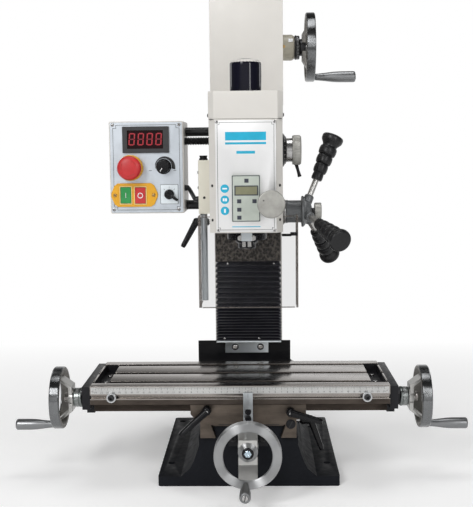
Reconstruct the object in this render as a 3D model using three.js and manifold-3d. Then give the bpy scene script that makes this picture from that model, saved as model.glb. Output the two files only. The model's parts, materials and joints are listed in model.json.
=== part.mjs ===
// Bench-top vertical milling machine, in millimetres.
// Frame: +Z up, X along the table, the operator stands at -Y.
// The origin is on the floor plane, under the middle of the base casting.
import * as THREE from "three";
import { mergeVertices } from "three/addons/utils/BufferGeometryUtils.js";
import Module from "manifold-3d";

const wasm = await Module();
wasm.setup();

// ---------- driving dimensions ----------
const GAP = 0.4; // clearance between pieces that touch or slide

const BASE_WIDTH = 310;
const BASE_DEPTH = 350;
const BASE_FLANGE = 17;
const PEDESTAL_TOP = 87;
const Y_WAY_TOP = 109;
const SEAT_TOP = 119;

const THROAT = 185; // spindle axis to the column's front face
const SPINDLE_Y = -130;
const COLUMN_FRONT = SPINDLE_Y + THROAT;
const COLUMN_WIDTH = 128;
const COLUMN_DEPTH = 110;
const COLUMN_TOP = 844;

const TABLE_LENGTH = 500;
const TABLE_DEPTH = 180;
const TABLE_TOP = 180;
const TABLE_BOTTOM = 148.5;
const TABLE_CENTRE_X = -14; // where the table stands along its travel
const TABLE_FRONT = SPINDLE_Y - 65;
const TABLE_MID_Y = TABLE_FRONT + TABLE_DEPTH / 2;
const T_SLOT_PITCH = 62;
const T_SLOT_WIDTH = 12;

const X_SCREW = { y: SPINDLE_Y + 5, z: 143 };
const Y_SCREW_Z = 90;
const Z_SCREW_Y = COLUMN_FRONT + 50;
const Z_WHEEL_Z = 763;
const SCREW_RADIUS = 8;
const JOURNAL_RADIUS = 7;

const HEAD_HALF_WIDTH = 60;
const HEAD_BOTTOM = 435;
const HEAD_SEAM = 619;
const HEAD_TOP = 664;
const HEAD_FRONT = SPINDLE_Y - 65;
const HEAD_WALL = 9;
const SLIDE_BOTTOM = 362;
const SLIDE_TOP = 650;
const QUILL_RADIUS = 33;
const QUILL_END = 419;

const FEED = { y: SPINDLE_Y + 40, z: 462.5 };
const SELECTOR_Z = 568.5;
const FINE_FEED = { x: 40, z: 484.5 };

const HANDLE_START = 12; // degrees that the first handle leans from upright, away from the operator
const HANDLE_FOOT = { x: 103, radius: 12 };
const HANDLE_TIP = { x: 153, radius: 133 };
const GRIP_LENGTH = 84;

const PANEL = {
  left: -240.5,
  right: -110.5,
  bottom: 460,
  top: 621,
  front: SPINDLE_Y + 57,
  depth: 104,
};
const GLAND = { x: -200, z: 484 };
const E_STOP = { x: -203.3, z: 540.4 };
const SPEED_KNOB = { x: -145.5, z: 542.3 };
const START = { x: -212.5, z: 492.5 };
const STOP = { x: -187, z: 492 };
const DIRECTION = { x: -136.5, z: 493.5 };
const ARM_Y = SPINDLE_Y + 110; // the two tubes that carry the control box
const UPPER_ARM = { z: 602.8, radius: 8 };
const LOWER_ARM = { z: 471.8, radius: 8.4 };
const GUARD_ROD = { x: -73.5, y: SPINDLE_Y + 20, radius: 5.5 };
const GUARD_SHEET = { left: -80, right: 85, bottom: 309, top: 427, front: SPINDLE_Y - 53 };

const STOP_Z = 161.6; // the stops' groove along the table's front
const X_GRIP_LENGTH = 68;
const Y_GRIP_LENGTH = 57;
const Z_GRIP_LENGTH = 79;
const LOCK_STUD = 19; // how far a saddle lever's hub stands out

// ---------- finishes ----------
function finish(color, roughness, metalness, opacity = 1) {
  return new THREE.MeshStandardMaterial({
    color,
    roughness,
    metalness,
    opacity,
    transparent: opacity < 1,
  });
}
const FINISH = {
  cream: finish(0xdad8d2, 0.45, 0.0),
  charcoal: finish(0x3b3d41, 0.6, 0.1),
  castIron: finish(0x8e877d, 0.5, 0.7),
  groundSteel: finish(0xa9a49c, 0.35, 0.9),
  polished: finish(0xc9c9c6, 0.18, 1.0),
  aluminium: finish(0xc4c7c8, 0.4, 0.9),
  greyCasting: finish(0x6b6d70, 0.55, 0.4),
  bronze: finish(0xa87b3f, 0.4, 0.9),
  blackSteel: finish(0x17181a, 0.45, 0.4),
  blackPlastic: finish(0x101114, 0.4, 0.0),
  rubber: finish(0x141414, 0.8, 0.0),
  clear: finish(0xdde6ea, 0.05, 0.0, 0.3),
  readOut: finish(0xb7c0b4, 0.4, 0.0),
  red: finish(0xc8281f, 0.35, 0.0),
  green: finish(0x2d9a3a, 0.35, 0.0),
};

// ---------- solids ----------
// A closed geometry as a manifold solid whose faces point out.
function solid(geometry) {
  const bare = geometry.clone();
  bare.deleteAttribute("normal");
  bare.deleteAttribute("uv");
  const merged = mergeVertices(bare, 1e-4);
  const corners = merged.index.array;
  const triangles = [];
  for (let i = 0; i < corners.length; i += 3) {
    const [a, b, c] = [corners[i], corners[i + 1], corners[i + 2]];
    if (a !== b && b !== c && c !== a) triangles.push(a, b, c);
  }
  const vertProperties = merged.attributes.position.array;
  const made = manifold(vertProperties, triangles);
  if (made.volume() > 0) return made;
  return manifold(vertProperties, triangles.reverse());
}

function manifold(vertProperties, triangles) {
  const triVerts = new Uint32Array(triangles);
  return new wasm.Manifold(new wasm.Mesh({ numProp: 3, vertProperties, triVerts }));
}

function join(first, ...others) {
  return others.reduce((sum, other) => sum.add(other), first);
}

function cut(stock, ...tools) {
  return tools.reduce((rest, tool) => rest.subtract(tool), stock);
}

function box([x0, x1], [y0, y1], [z0, z1]) {
  const geometry = new THREE.BoxGeometry(x1 - x0, y1 - y0, z1 - z0);
  return solid(geometry.translate((x0 + x1) / 2, (y0 + y1) / 2, (z0 + z1) / 2));
}

// A profile of [radius, distance] points turned round an axis ("x", "y" or "z") through a point.
function turned(axis, profile, at = [0, 0, 0], segments = 24) {
  const points = profile.map(([radius, along]) => new THREE.Vector2(radius, along));
  const geometry = new THREE.LatheGeometry(points, segments);
  if (axis === "x") geometry.rotateZ(-Math.PI / 2);
  if (axis === "z") geometry.rotateX(Math.PI / 2);
  return solid(geometry.translate(...at));
}

function cylinder(axis, radius, [from, to], at, segments = 24) {
  const profile = [[0, from], [radius, from], [radius, to], [0, to]];
  return turned(axis, profile, at, segments);
}

// An outline extruded along an axis. It is given as [x, y] for "z", [x, z] for "y" and [y, z] for "x".
function extruded(axis, outline, [from, to]) {
  const shape = new THREE.Shape(outline.map(([a, b]) => new THREE.Vector2(a, b)));
  const geometry = new THREE.ExtrudeGeometry(shape, { depth: to - from, bevelEnabled: false });
  if (axis === "z") geometry.translate(0, 0, from);
  if (axis === "y") geometry.rotateX(Math.PI / 2).translate(0, to, 0);
  if (axis === "x") {
    const turn = new THREE.Matrix4().set(0, 0, 1, from, 1, 0, 0, 0, 0, 1, 0, 0, 0, 0, 0, 1);
    geometry.applyMatrix4(turn);
  }
  return solid(geometry);
}

function mirrored(half) {
  return [...half, ...half.map(([a, b]) => [-a, b]).reverse()];
}

function roundedRectangle(halfX, halfY, radius, centreY = 0, steps = 3) {
  const points = [];
  const corners = [[1, 1], [-1, 1], [-1, -1], [1, -1]];
  corners.forEach(([sx, sy], corner) => {
    for (let i = 0; i <= steps; i++) {
      const angle = ((corner + i / steps) * Math.PI) / 2;
      const x = sx * (halfX - radius) + radius * Math.cos(angle);
      const y = sy * (halfY - radius) + radius * Math.sin(angle);
      points.push([x, centreY + y]);
    }
  });
  return points;
}

// A turned profile laid along the line from one point to another.
function between(from, to, profile, segments = 16) {
  const start = new THREE.Vector3(...from);
  const way = new THREE.Vector3(...to).sub(start).normalize();
  const points = profile.map(([radius, along]) => new THREE.Vector2(radius, along));
  const geometry = new THREE.LatheGeometry(points, segments);
  const turn = new THREE.Quaternion().setFromUnitVectors(new THREE.Vector3(0, 1, 0), way);
  return solid(geometry.applyQuaternion(turn).translate(...from));
}

function rodBetween(from, to, radius, segments = 12) {
  const length = new THREE.Vector3(...to).distanceTo(new THREE.Vector3(...from));
  return between(from, to, [[0, 0], [radius, 0], [radius, length], [0, length]], segments);
}

function hosed(points, radius, steps, sides = 10) {
  const path = new THREE.CatmullRomCurve3(points.map((p) => new THREE.Vector3(...p)));
  const section = new THREE.Shape();
  for (let i = 0; i < sides; i++) {
    const angle = (2 * Math.PI * i) / sides;
    const [x, y] = [radius * Math.cos(angle), radius * Math.sin(angle)];
    if (i === 0) section.moveTo(x, y);
    else section.lineTo(x, y);
  }
  section.closePath();
  return solid(new THREE.ExtrudeGeometry(section, { steps, extrudePath: path, bevelEnabled: false }));
}

// ---------- scene graph ----------
const group = new THREE.Group();

function piece(name, material, body, parent = group) {
  const made = body.getMesh();
  const geometry = new THREE.BufferGeometry();
  geometry.setAttribute("position", new THREE.BufferAttribute(made.vertProperties, 3));
  geometry.setIndex(new THREE.BufferAttribute(made.triVerts, 1));
  const mesh = new THREE.Mesh(geometry, material);
  mesh.name = name;
  parent.add(mesh);
  return mesh;
}

// ---------- base and column ----------
function makeBase() {
  const front = -BASE_DEPTH / 2;
  const back = BASE_DEPTH / 2;
  const wayBack = COLUMN_FRONT - 8;
  const flank = [];
  const flankSteps = 4;
  for (let i = 0; i <= flankSteps; i++) {
    const t = i / flankSteps;
    flank.push([116 - 32 * Math.sqrt(t), BASE_FLANGE + 55 * t]); // hollow flare at the foot
  }
  const pedestal = mirrored([[116, BASE_FLANGE - 1], ...flank, [84, PEDESTAL_TOP]]);
  const way = mirrored([[54, PEDESTAL_TOP - 1], [54, PEDESTAL_TOP], [62, Y_WAY_TOP]]);
  const flangeOutline = roundedRectangle(BASE_WIDTH / 2, BASE_DEPTH / 2, 5);
  let body = join(
    extruded("z", flangeOutline, [0, BASE_FLANGE]),
    extruded("y", pedestal, [front, back - 3]),
    extruded("y", way, [front, wayBack + 1]),
    box([-95, 95], [wayBack, back - 3], [BASE_FLANGE - 1, SEAT_TOP]),
    box([-76, 76], [front, wayBack], [PEDESTAL_TOP - 1, PEDESTAL_TOP]),
  );
  body = cut(body, box([-17, 17], [front - 1, wayBack - 2], [76, SEAT_TOP]));
  for (const side of [-1, 1]) {
    for (const [y0, y1] of [[front + 14, -12], [12, back - 16]]) {
      const inner = Math.min(side * 11, side * 76);
      const outer = Math.max(side * 11, side * 76);
      body = cut(body, box([inner, outer], [y0, y1], [-1, 62]));
    }
    for (const y of [-106, 148]) {
      body = cut(body, cylinder("z", 6, [-1, BASE_FLANGE + 1], [side * 138, y, 0], 16));
    }
  }
  piece("base_casting", FINISH.charcoal, body);
}

function makeColumn() {
  const half = COLUMN_WIDTH / 2;
  const back = COLUMN_FRONT + COLUMN_DEPTH;
  const midY = COLUMN_FRONT + COLUMN_DEPTH / 2;
  const outline = roundedRectangle(half, COLUMN_DEPTH / 2, 4, midY, 2);
  const way = mirrored([[38, COLUMN_FRONT + 1], [38, COLUMN_FRONT], [47, COLUMN_FRONT - 24]]);
  const housingEnd = 90.6;
  const housing = turned("x", [
    [0, half - 2],
    [24, half - 2],
    [24, housingEnd - 4.6],
    [21, housingEnd],
    [0, housingEnd],
  ], [0, Z_SCREW_Y, Z_WHEEL_Z], 28);
  let body = join(
    extruded("z", outline, [SEAT_TOP + GAP, COLUMN_TOP]),
    extruded("z", roundedRectangle(90, 61, 6, COLUMN_FRONT + 56, 2), [SEAT_TOP + GAP, 139]),
    extruded("z", way, [216, 830]),
    housing,
  );
  body = cut(
    body,
    box([-46, 46], [COLUMN_FRONT + 22, back - 14], [146, 806]),
    box([-20, 20], [COLUMN_FRONT - 30, COLUMN_FRONT + 24], [222, 800]),
    cylinder("x", 8.5, [30, 120], [0, Z_SCREW_Y, Z_WHEEL_Z], 20),
  );
  for (const side of [-1, 1]) {
    for (const y of [COLUMN_FRONT + 12, back - 8]) {
      body = cut(body, cylinder("z", 5, [110, 145], [side * 78, y, 0], 12));
    }
  }
  piece("column", FINISH.cream, body);
}

function makeBellowsBracket() {
  const body = join(
    box([-45, 37], [COLUMN_FRONT - 15, COLUMN_FRONT - 12], [184, 211]),
    box([-61, 61], [COLUMN_FRONT - 35, COLUMN_FRONT - GAP], [208, 211]),
  );
  piece("bellows_bracket", FINISH.aluminium, body);
}

function makeBellows() {
  const [front, back, half, wall] = [COLUMN_FRONT - 35, COLUMN_FRONT - 2, 61.5, 6];
  const outline = [
    [half, back],
    [half - wall, back],
    [half - wall, front + wall],
    [wall - half, front + wall],
    [wall - half, back],
    [-half, back],
    [-half, front],
    [half, front],
  ];
  piece("bellows", FINISH.rubber, extruded("z", outline, [211 + GAP, SLIDE_BOTTOM - GAP]));
}

// A rubber sheet that hangs from the column and lies down to the back of the saddle.
function makeChipFlap() {
  const centre = [[45, 207], [45, 165], [37, 145], [20, 134], [0, 130.5], [-24.5, 130]];
  const upper = [];
  const lower = [];
  const thickness = 3;
  centre.forEach(([y, z], i) => {
    const before = centre[Math.max(i - 1, 0)];
    const after = centre[Math.min(i + 1, centre.length - 1)];
    const [dy, dz] = [after[0] - before[0], after[1] - before[1]];
    const length = Math.hypot(dy, dz);
    const [ny, nz] = [(-dz / length) * (thickness / 2), (dy / length) * (thickness / 2)];
    upper.push([y + ny, z + nz]);
    lower.push([y - ny, z - nz]);
  });
  piece("chip_flap", FINISH.rubber, extruded("x", [...upper, ...lower.reverse()], [-97, 79]));
}

// ---------- handwheels ----------
// Local frame: +X points away from the machine, and x = 0 is the hub's inner face.
const SADDLE_WHEEL = {
  radius: 54,
  rim: [28, 45],
  hub: 24,
  fold: 21,
  hubRadius: 16.5,
  dial: 15,
  dialRadius: 17,
  gripAt: 46,
};
const TABLE_WHEEL = { ...SADDLE_WHEEL, rim: [17, 34], hub: 9 };
const COLUMN_WHEEL = {
  radius: 65,
  rim: [11, 28],
  hub: 12,
  fold: 24,
  hubRadius: 16.5,
  dial: 10,
  dialRadius: 23,
  gripAt: 56,
};

function handwheelSolid(wheel) {
  const [rimIn, rimOut] = wheel.rim;
  const outer = wheel.radius;
  const inner = wheel.radius - 15;
  const rim = turned("x", [
    [inner, rimOut - 3],
    [inner + 7, rimIn],
    [outer - 2, rimIn],
    [outer, rimIn + 2],
    [outer, rimOut - 2],
    [outer - 2, rimOut],
    [inner + 2, rimOut],
    [inner, rimOut - 3],
  ], [0, 0, 0], 28);
  const hub = turned("x", [
    [0, 0],
    [wheel.hubRadius, 0],
    [wheel.hubRadius, 4],
    [13, wheel.hub],
    [0, wheel.hub],
  ], [0, 0, 0], 20);
  // the spoke plate stays flat as far as its fold, then leans out to the rim
  const reach = inner + 3;
  const plateIn = wheel.hub - 8;
  const plateOut = wheel.hub - 1;
  const spokes = extruded("y", [
    [plateIn, -wheel.fold - 1],
    [rimOut - 7, -reach],
    [rimOut - 1.5, -reach],
    [plateOut, -wheel.fold + 1],
    [plateOut, wheel.fold - 1],
    [rimOut - 1.5, reach],
    [rimOut - 7, reach],
    [plateIn, wheel.fold + 1],
  ], [-16, 16]);
  return join(rim, hub, spokes);
}

function dialSolid(wheel, boreRadius) {
  const r = wheel.dialRadius;
  const inner = -wheel.dial;
  return turned("x", [
    [boreRadius, inner],
    [r, inner],
    [r, -GAP - 1],
    [r - 1, -GAP],
    [boreRadius, -GAP],
    [boreRadius, inner],
  ], [0, 0, 0], 18);
}

function gripSolid(length, radius) {
  return turned("x", [
    [0, 0],
    [radius * 0.62, 0],
    [radius * 0.66, length * 0.1],
    [radius * 0.82, length * 0.32],
    [radius * 0.98, length * 0.62],
    [radius, length * 0.8],
    [radius * 0.86, length * 0.94],
    [radius * 0.5, length],
    [0, length],
  ], [0, 0, 0], 14);
}

// Wheel, dial and grip in a group that stands at the hub's inner face.
function placeWheel(
  name,
  wheel,
  place,
  turn,
  boreRadius,
  gripLength,
  gripRadius,
  gripOffset,
  shaft = null,
) {
  const mount = new THREE.Group();
  mount.position.set(...place);
  mount.rotation.z = turn;
  group.add(mount);
  let body = handwheelSolid(wheel);
  if (shaft) body = join(body, shaft);
  else body = cut(body, cylinder("x", boreRadius, [-1, wheel.hub + 1], [0, 0, 0], 20));
  piece(name.wheel, FINISH.polished, body, mount);
  piece(name.dial, FINISH.blackSteel, dialSolid(wheel, boreRadius), mount);
  const grip = piece(name.grip, FINISH.aluminium, gripSolid(gripLength, gripRadius), mount);
  grip.position.set(wheel.rim[1] + GAP, gripOffset, -wheel.gripAt);
}

const CAP_THICKNESS = 14;
const BOSS_LENGTH = 11;
const HUB_FROM_TABLE = CAP_THICKNESS + BOSS_LENGTH + TABLE_WHEEL.dial;

function makeTableFeed() {
  const left = TABLE_CENTRE_X - TABLE_LENGTH / 2;
  const right = TABLE_CENTRE_X + TABLE_LENGTH / 2;
  const { y, z } = X_SCREW;
  const hubLeft = left - HUB_FROM_TABLE;
  const hubRight = right + HUB_FROM_TABLE;
  const bore = JOURNAL_RADIUS + GAP;
  const names = (side) => ({
    wheel: `x_handwheel_${side}`,
    dial: `x_dial_${side}`,
    grip: `x_grip_${side}`,
  });
  const grip = [X_GRIP_LENGTH, 9.6];
  placeWheel(names("left"), TABLE_WHEEL, [hubLeft, y, z], Math.PI, bore, ...grip, 8);
  placeWheel(names("right"), TABLE_WHEEL, [hubRight, y, z], 0, bore, ...grip, -8);
  const endLeft = hubLeft - TABLE_WHEEL.hub - GAP;
  const endRight = hubRight + TABLE_WHEEL.hub + GAP;
  const screw = turned("x", [
    [0, endLeft - 7],
    [8.5, endLeft - 7],
    [8.5, endLeft],
    [JOURNAL_RADIUS, endLeft],
    [JOURNAL_RADIUS, left],
    [SCREW_RADIUS, left],
    [SCREW_RADIUS, right],
    [JOURNAL_RADIUS, right],
    [JOURNAL_RADIUS, endRight],
    [8.5, endRight],
    [8.5, endRight + 7],
    [0, endRight + 7],
  ], [0, y, z], 14);
  piece("x_leadscrew", FINISH.groundSteel, screw);
}

function makeSaddleFeed() {
  const front = -BASE_DEPTH / 2;
  const hub = front - 69;
  const bore = JOURNAL_RADIUS + GAP;
  const names = { wheel: "y_handwheel", dial: "y_dial", grip: "y_grip" };
  const grip = [Y_GRIP_LENGTH, 9];
  placeWheel(names, SADDLE_WHEEL, [0, hub, Y_SCREW_Z], -Math.PI / 2, bore, ...grip, -4);
  const end = hub - SADDLE_WHEEL.hub - GAP;
  const screw = turned("y", [
    [0, end - 7],
    [8.5, end - 7],
    [8.5, end],
    [JOURNAL_RADIUS, end],
    [JOURNAL_RADIUS, front + 1],
    [SCREW_RADIUS, front + 1],
    [SCREW_RADIUS, COLUMN_FRONT - 15],
    [0, COLUMN_FRONT - 15],
  ], [0, 0, Y_SCREW_Z], 14);
  piece("y_leadscrew", FINISH.groundSteel, screw);
  const dialInner = hub + SADDLE_WHEEL.dial;
  const bracket = join(
    box([-33, 33], [front - 15, front - GAP], [75, 105]),
    cylinder("y", 15, [dialInner + GAP, front - GAP], [0, 0, Y_SCREW_Z]),
  );
  const boreTool = cylinder("y", bore, [dialInner - 5, front + 5], [0, 0, Y_SCREW_Z], 20);
  piece("y_bearing_bracket", FINISH.blackSteel, cut(bracket, boreTool));
}

function makeHeadFeed() {
  const hub = 101;
  const shaftRadius = 8;
  const bevel = [[0, -91], [9, -91], [18.8, -81.2], [18.8, -78], [0, -78]];
  const shaft = join(
    turned("x", bevel, [0, 0, 0], 16),
    cylinder("x", shaftRadius, [-80, 6], [0, 0, 0], 20),
    cylinder("x", 8.5, [COLUMN_WHEEL.hub - 1, COLUMN_WHEEL.hub + 7], [0, 0, 0], 6),
  );
  const names = { wheel: "z_handwheel", dial: "z_dial", grip: "z_grip" };
  const place = [hub, Z_SCREW_Y, Z_WHEEL_Z];
  const grip = [Z_GRIP_LENGTH, 10.5];
  placeWheel(names, COLUMN_WHEEL, place, 0, shaftRadius + GAP, ...grip, 0, shaft);
  const apex = Z_WHEEL_Z;
  const screw = turned("z", [
    [0, 160],
    [SCREW_RADIUS, 160],
    [SCREW_RADIUS, apex - 23],
    [18.8, apex - 23],
    [18.8, apex - 19.8],
    [9, apex - 10],
    [0, apex - 10],
  ], [0, Z_SCREW_Y, 0], 16);
  piece("z_leadscrew", FINISH.groundSteel, screw);
}

// ---------- saddle and table ----------
const SADDLE_FRONT = SPINDLE_Y - 55;
const SADDLE_BACK = SPINDLE_Y + 105;
const Y_NUT_BACK = -71;

function makeSaddle() {
  const outline = mirrored([
    [62.5, Y_WAY_TOP + 1],
    [54.6, PEDESTAL_TOP + GAP],
    [81, PEDESTAL_TOP + GAP],
    [81, 119],
    [92, 123],
    [97, 129],
    [97, 145.5],
  ]);
  const channel = [
    [TABLE_MID_Y - 55.5, 127],
    [TABLE_MID_Y + 55.5, 127],
    [TABLE_MID_Y + 47.6, 150],
    [TABLE_MID_Y - 47.6, 150],
  ];
  const body = cut(
    extruded("y", outline, [SADDLE_FRONT, SADDLE_BACK]),
    extruded("x", channel, [-120, 120]),
    box([-13.5, 13.5], [X_SCREW.y - 12.5, Y_NUT_BACK + 0.5], [100, 130]),
  );
  piece("saddle", FINISH.castIron, body);
}

// One block that reaches through the saddle's floor: the table's nut above, the saddle's own below.
function makeFeedNuts() {
  const front = X_SCREW.y - 12;
  const xNut = box([-13, 13], [front, X_SCREW.y + 12], [111, 155]);
  const yNut = box([-13, 13], [Y_NUT_BACK - 28, Y_NUT_BACK], [78, 126]);
  const link = box([-13, 13], [front, Y_NUT_BACK], [112, 126]);
  const body = cut(
    join(xNut, yNut, link),
    cylinder("x", SCREW_RADIUS + GAP, [-20, 20], [0, X_SCREW.y, X_SCREW.z], 20),
    cylinder("y", SCREW_RADIUS + GAP, [Y_NUT_BACK - 40, Y_NUT_BACK + 10], [0, 0, Y_SCREW_Z], 20),
  );
  piece("feed_nuts", FINISH.bronze, body);
}

function makeSaddlePointer() {
  const front = SADDLE_FRONT - 7;
  const body = join(
    box([-8, 8], [front, SADDLE_FRONT - GAP], [124, 146]),
    box([-8, 8], [TABLE_FRONT - 4.4, TABLE_FRONT - GAP], [141, 169]),
    box([-8, 8], [TABLE_FRONT - 4.4, SADDLE_FRONT - GAP], [141, 145]),
  );
  piece("saddle_pointer", FINISH.aluminium, body);
}

// A black clamping lever: a round hub on a stud and an arm that ends in a blunt tip.
function lockLeverSolid(hubFrom, hubTo, armEnd) {
  const arm = new THREE.Vector3(...armEnd).distanceTo(new THREE.Vector3(...hubTo));
  const armProfile = [[0, -4], [6, -4], [6.5, 3], [4.2, arm * 0.45], [5, arm - 4], [3, arm], [0, arm]];
  return join(rodBetween(hubFrom, hubTo, 7.5, 14), between(hubTo, armEnd, armProfile, 10));
}

function makeLockLevers() {
  const face = SADDLE_FRONT - GAP;
  const out = face - LOCK_STUD;
  const left = lockLeverSolid([-69, face, 138], [-69, out, 138], [-113, out - 6, 100]);
  const right = lockLeverSolid([71, face, 135], [71, out, 135], [123, out - 6, 122]);
  piece("x_lock_lever_left", FINISH.blackSteel, left);
  piece("x_lock_lever_right", FINISH.blackSteel, right);
  const saddleSide = 81 + GAP;
  const side = lockLeverSolid([saddleSide, -130, 103], [113, -130, 103], [127, -130, 50]);
  piece("y_lock_lever", FINISH.blackSteel, side);
}

function tSlotOutline(centre) {
  const half = T_SLOT_WIDTH / 2;
  return [
    [centre - half, TABLE_TOP + 1],
    [centre - half, 171],
    [centre - 10, 171],
    [centre - 10, 163.5],
    [centre + 10, 163.5],
    [centre + 10, 171],
    [centre + half, 171],
    [centre + half, TABLE_TOP + 1],
  ];
}

function makeTable() {
  const left = TABLE_CENTRE_X - TABLE_LENGTH / 2;
  const right = TABLE_CENTRE_X + TABLE_LENGTH / 2;
  const back = TABLE_FRONT + TABLE_DEPTH;
  const outline = [
    [TABLE_MID_Y - 55, 127.4],
    [TABLE_MID_Y + 55, 127.4],
    [TABLE_MID_Y + 47.3, TABLE_BOTTOM],
    [back, TABLE_BOTTOM],
    [back, TABLE_TOP],
    [TABLE_FRONT, TABLE_TOP],
    [TABLE_FRONT, STOP_Z + 3],
    [TABLE_FRONT + 7, STOP_Z + 3],
    [TABLE_FRONT + 7, STOP_Z - 3],
    [TABLE_FRONT, STOP_Z - 3],
    [TABLE_FRONT, TABLE_BOTTOM],
    [TABLE_MID_Y - 47.3, TABLE_BOTTOM],
  ];
  const ends = [left - 1, right + 1];
  let body = cut(
    extruded("x", outline, [left, right]),
    box(ends, [X_SCREW.y - 17, X_SCREW.y + 17], [120, 158]),
  );
  for (const row of [-1, 0, 1]) {
    body = cut(body, extruded("x", tSlotOutline(TABLE_MID_Y + row * T_SLOT_PITCH), ends));
  }
  // coolant troughs across the slots at both ends
  const reach = T_SLOT_PITCH + T_SLOT_WIDTH / 2 + 0.5;
  for (const [x0, x1] of [[left + 3, left + 28], [right - 28, right - 3]]) {
    body = cut(body, box([x0, x1], [TABLE_MID_Y - reach, TABLE_MID_Y + reach], [166, TABLE_TOP + 1]));
  }
  piece("table", FINISH.groundSteel, body);
}

function makeTableEndCaps() {
  const inner = TABLE_LENGTH / 2 + GAP;
  const outer = TABLE_LENGTH / 2 + CAP_THICKNESS;
  const { y, z } = X_SCREW;
  for (const [name, side] of [["left", -1], ["right", 1]]) {
    const xs = (a, b) => [TABLE_CENTRE_X + side * a, TABLE_CENTRE_X + side * b].sort((p, q) => p - q);
    const plate = box(xs(inner, outer), [TABLE_FRONT + 4, TABLE_FRONT + TABLE_DEPTH - 4], [139, 178]);
    const lug = box(xs(inner, outer), [y - 24, y + 24], [122, 140]);
    const boss = cylinder("x", 15, xs(outer - 2, outer + BOSS_LENGTH - GAP), [0, y, z], 24);
    const bore = cylinder("x", JOURNAL_RADIUS + GAP, xs(inner - 5, outer + 20), [0, y, z], 20);
    piece(`table_end_cap_${name}`, FINISH.blackSteel, cut(join(plate, lug, boss), bore));
  }
}

// Limit stops that clamp in the groove along the table's front face.
function makeTableStops() {
  const z = STOP_Z;
  for (const [name, x] of [["left", -227.5], ["right", 197.5]]) {
    const body = join(
      box([x - 7, x + 7], [TABLE_FRONT - 1, TABLE_FRONT + 6], [z - 2.5, z + 2.5]),
      cylinder("y", 8, [TABLE_FRONT - 7, TABLE_FRONT - GAP], [x, 0, z], 20),
      cylinder("y", 4.5, [TABLE_FRONT - 11, TABLE_FRONT - 6], [x, 0, z], 12),
    );
    piece(`table_stop_${name}`, FINISH.aluminium, body);
  }
}

// ---------- head ----------
function makeSlide() {
  const front = SPINDLE_Y + 150;
  const back = COLUMN_FRONT - 2;
  const channel = mirrored([[38.4, back + 2], [47.6, COLUMN_FRONT - 24 - GAP]]);
  const arm = box([-13, 13], [front + 4, Z_SCREW_Y + 15], [400, 440]);
  const screwBore = cylinder("z", SCREW_RADIUS + GAP, [390, 450], [0, Z_SCREW_Y, 0], 20);
  const web = cut(
    box([-61, 61], [front, back], [SLIDE_BOTTOM, SLIDE_TOP]),
    extruded("z", channel, [SLIDE_BOTTOM - 1, SLIDE_TOP + 1]),
  );
  piece("z_slide", FINISH.greyCasting, cut(join(web, arm), screwBore));
}

function makeHeadCasting() {
  const half = HEAD_HALF_WIDTH;
  const back = SPINDLE_Y + 150 - GAP;
  const chamfer = 10;
  const outer = mirrored([
    [half - chamfer, HEAD_FRONT],
    [half, HEAD_FRONT + chamfer],
    [half, back],
  ]);
  const inner = half - HEAD_WALL;
  const cavity = [
    [inner, HEAD_FRONT + 14],
    [inner, back - 10],
    [-inner, back - 10],
    [-inner, HEAD_FRONT + 14],
  ];
  const spindleAt = [0, SPINDLE_Y, 0];
  const selectorBoss = turned("x", [
    [0, half - 1],
    [28, half - 1],
    [28, half + 2],
    [21.5, half + 7],
    [0, half + 7],
  ], [0, SPINDLE_Y, SELECTOR_Z], 20);
  let body = cut(
    extruded("z", outer, [HEAD_BOTTOM, HEAD_SEAM]),
    extruded("z", cavity, [HEAD_BOTTOM + 12, HEAD_SEAM + 1]),
  );
  body = join(
    body,
    cylinder("z", QUILL_RADIUS + 9, [HEAD_BOTTOM + 2, 556], spindleAt, 20),
    selectorBoss,
    cylinder("x", 23, [half - 1, half + 4 - GAP], [0, FEED.y, FEED.z], 20),
  );
  body = cut(
    body,
    cylinder("z", QUILL_RADIUS + GAP, [HEAD_BOTTOM - 1, 560], spindleAt, 24),
    box([-24, 24], [FEED.y - 12, FEED.y + 13], [FEED.z - 13, FEED.z + 13]),
    cylinder("x", 8.4, [20, 80], [0, FEED.y, FEED.z], 20),
    cylinder("y", 5.4, [HEAD_FRONT - 1, FEED.y - 5], [FINE_FEED.x, 0, FINE_FEED.z], 16),
    cylinder("x", 6.4, [40, 80], [0, SPINDLE_Y, SELECTOR_Z], 16),
    box([30, inner + 0.5], [FEED.y - 17, FEED.y + 17], [HEAD_BOTTOM + 10, FEED.z + 17]),
  );
  piece("head_casting", FINISH.cream, body);
}

function makeHeadCover() {
  const half = HEAD_HALF_WIDTH + 0.6;
  const back = SPINDLE_Y + 150 - GAP;
  const chamfer = 9;
  const base = HEAD_SEAM + GAP;
  const outer = mirrored([
    [half - chamfer, HEAD_FRONT],
    [half, HEAD_FRONT + chamfer],
    [half, back],
  ]);
  const capRadius = 26.3;
  const cap = [[0, HEAD_TOP - 2], [capRadius, HEAD_TOP - 2], [capRadius, 712]];
  for (let i = 1; i <= 3; i++) {
    const angle = (i / 3) * (Math.PI / 2);
    cap.push([capRadius - 6 + 6 * Math.cos(angle), 712 + 6 * Math.sin(angle)]);
  }
  cap.push([0, 721]);
  const body = cut(
    join(extruded("z", outer, [base, HEAD_TOP]), turned("z", cap, [0, SPINDLE_Y, 0], 28)),
    box([8 - half, half - 8], [HEAD_FRONT + 8, back - 6], [base - 1, HEAD_TOP - 4]),
    cylinder("z", 22, [HEAD_TOP - 6, 708], [0, SPINDLE_Y, 0], 20),
  );
  piece("head_top_cover", FINISH.cream, body);
}

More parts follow.
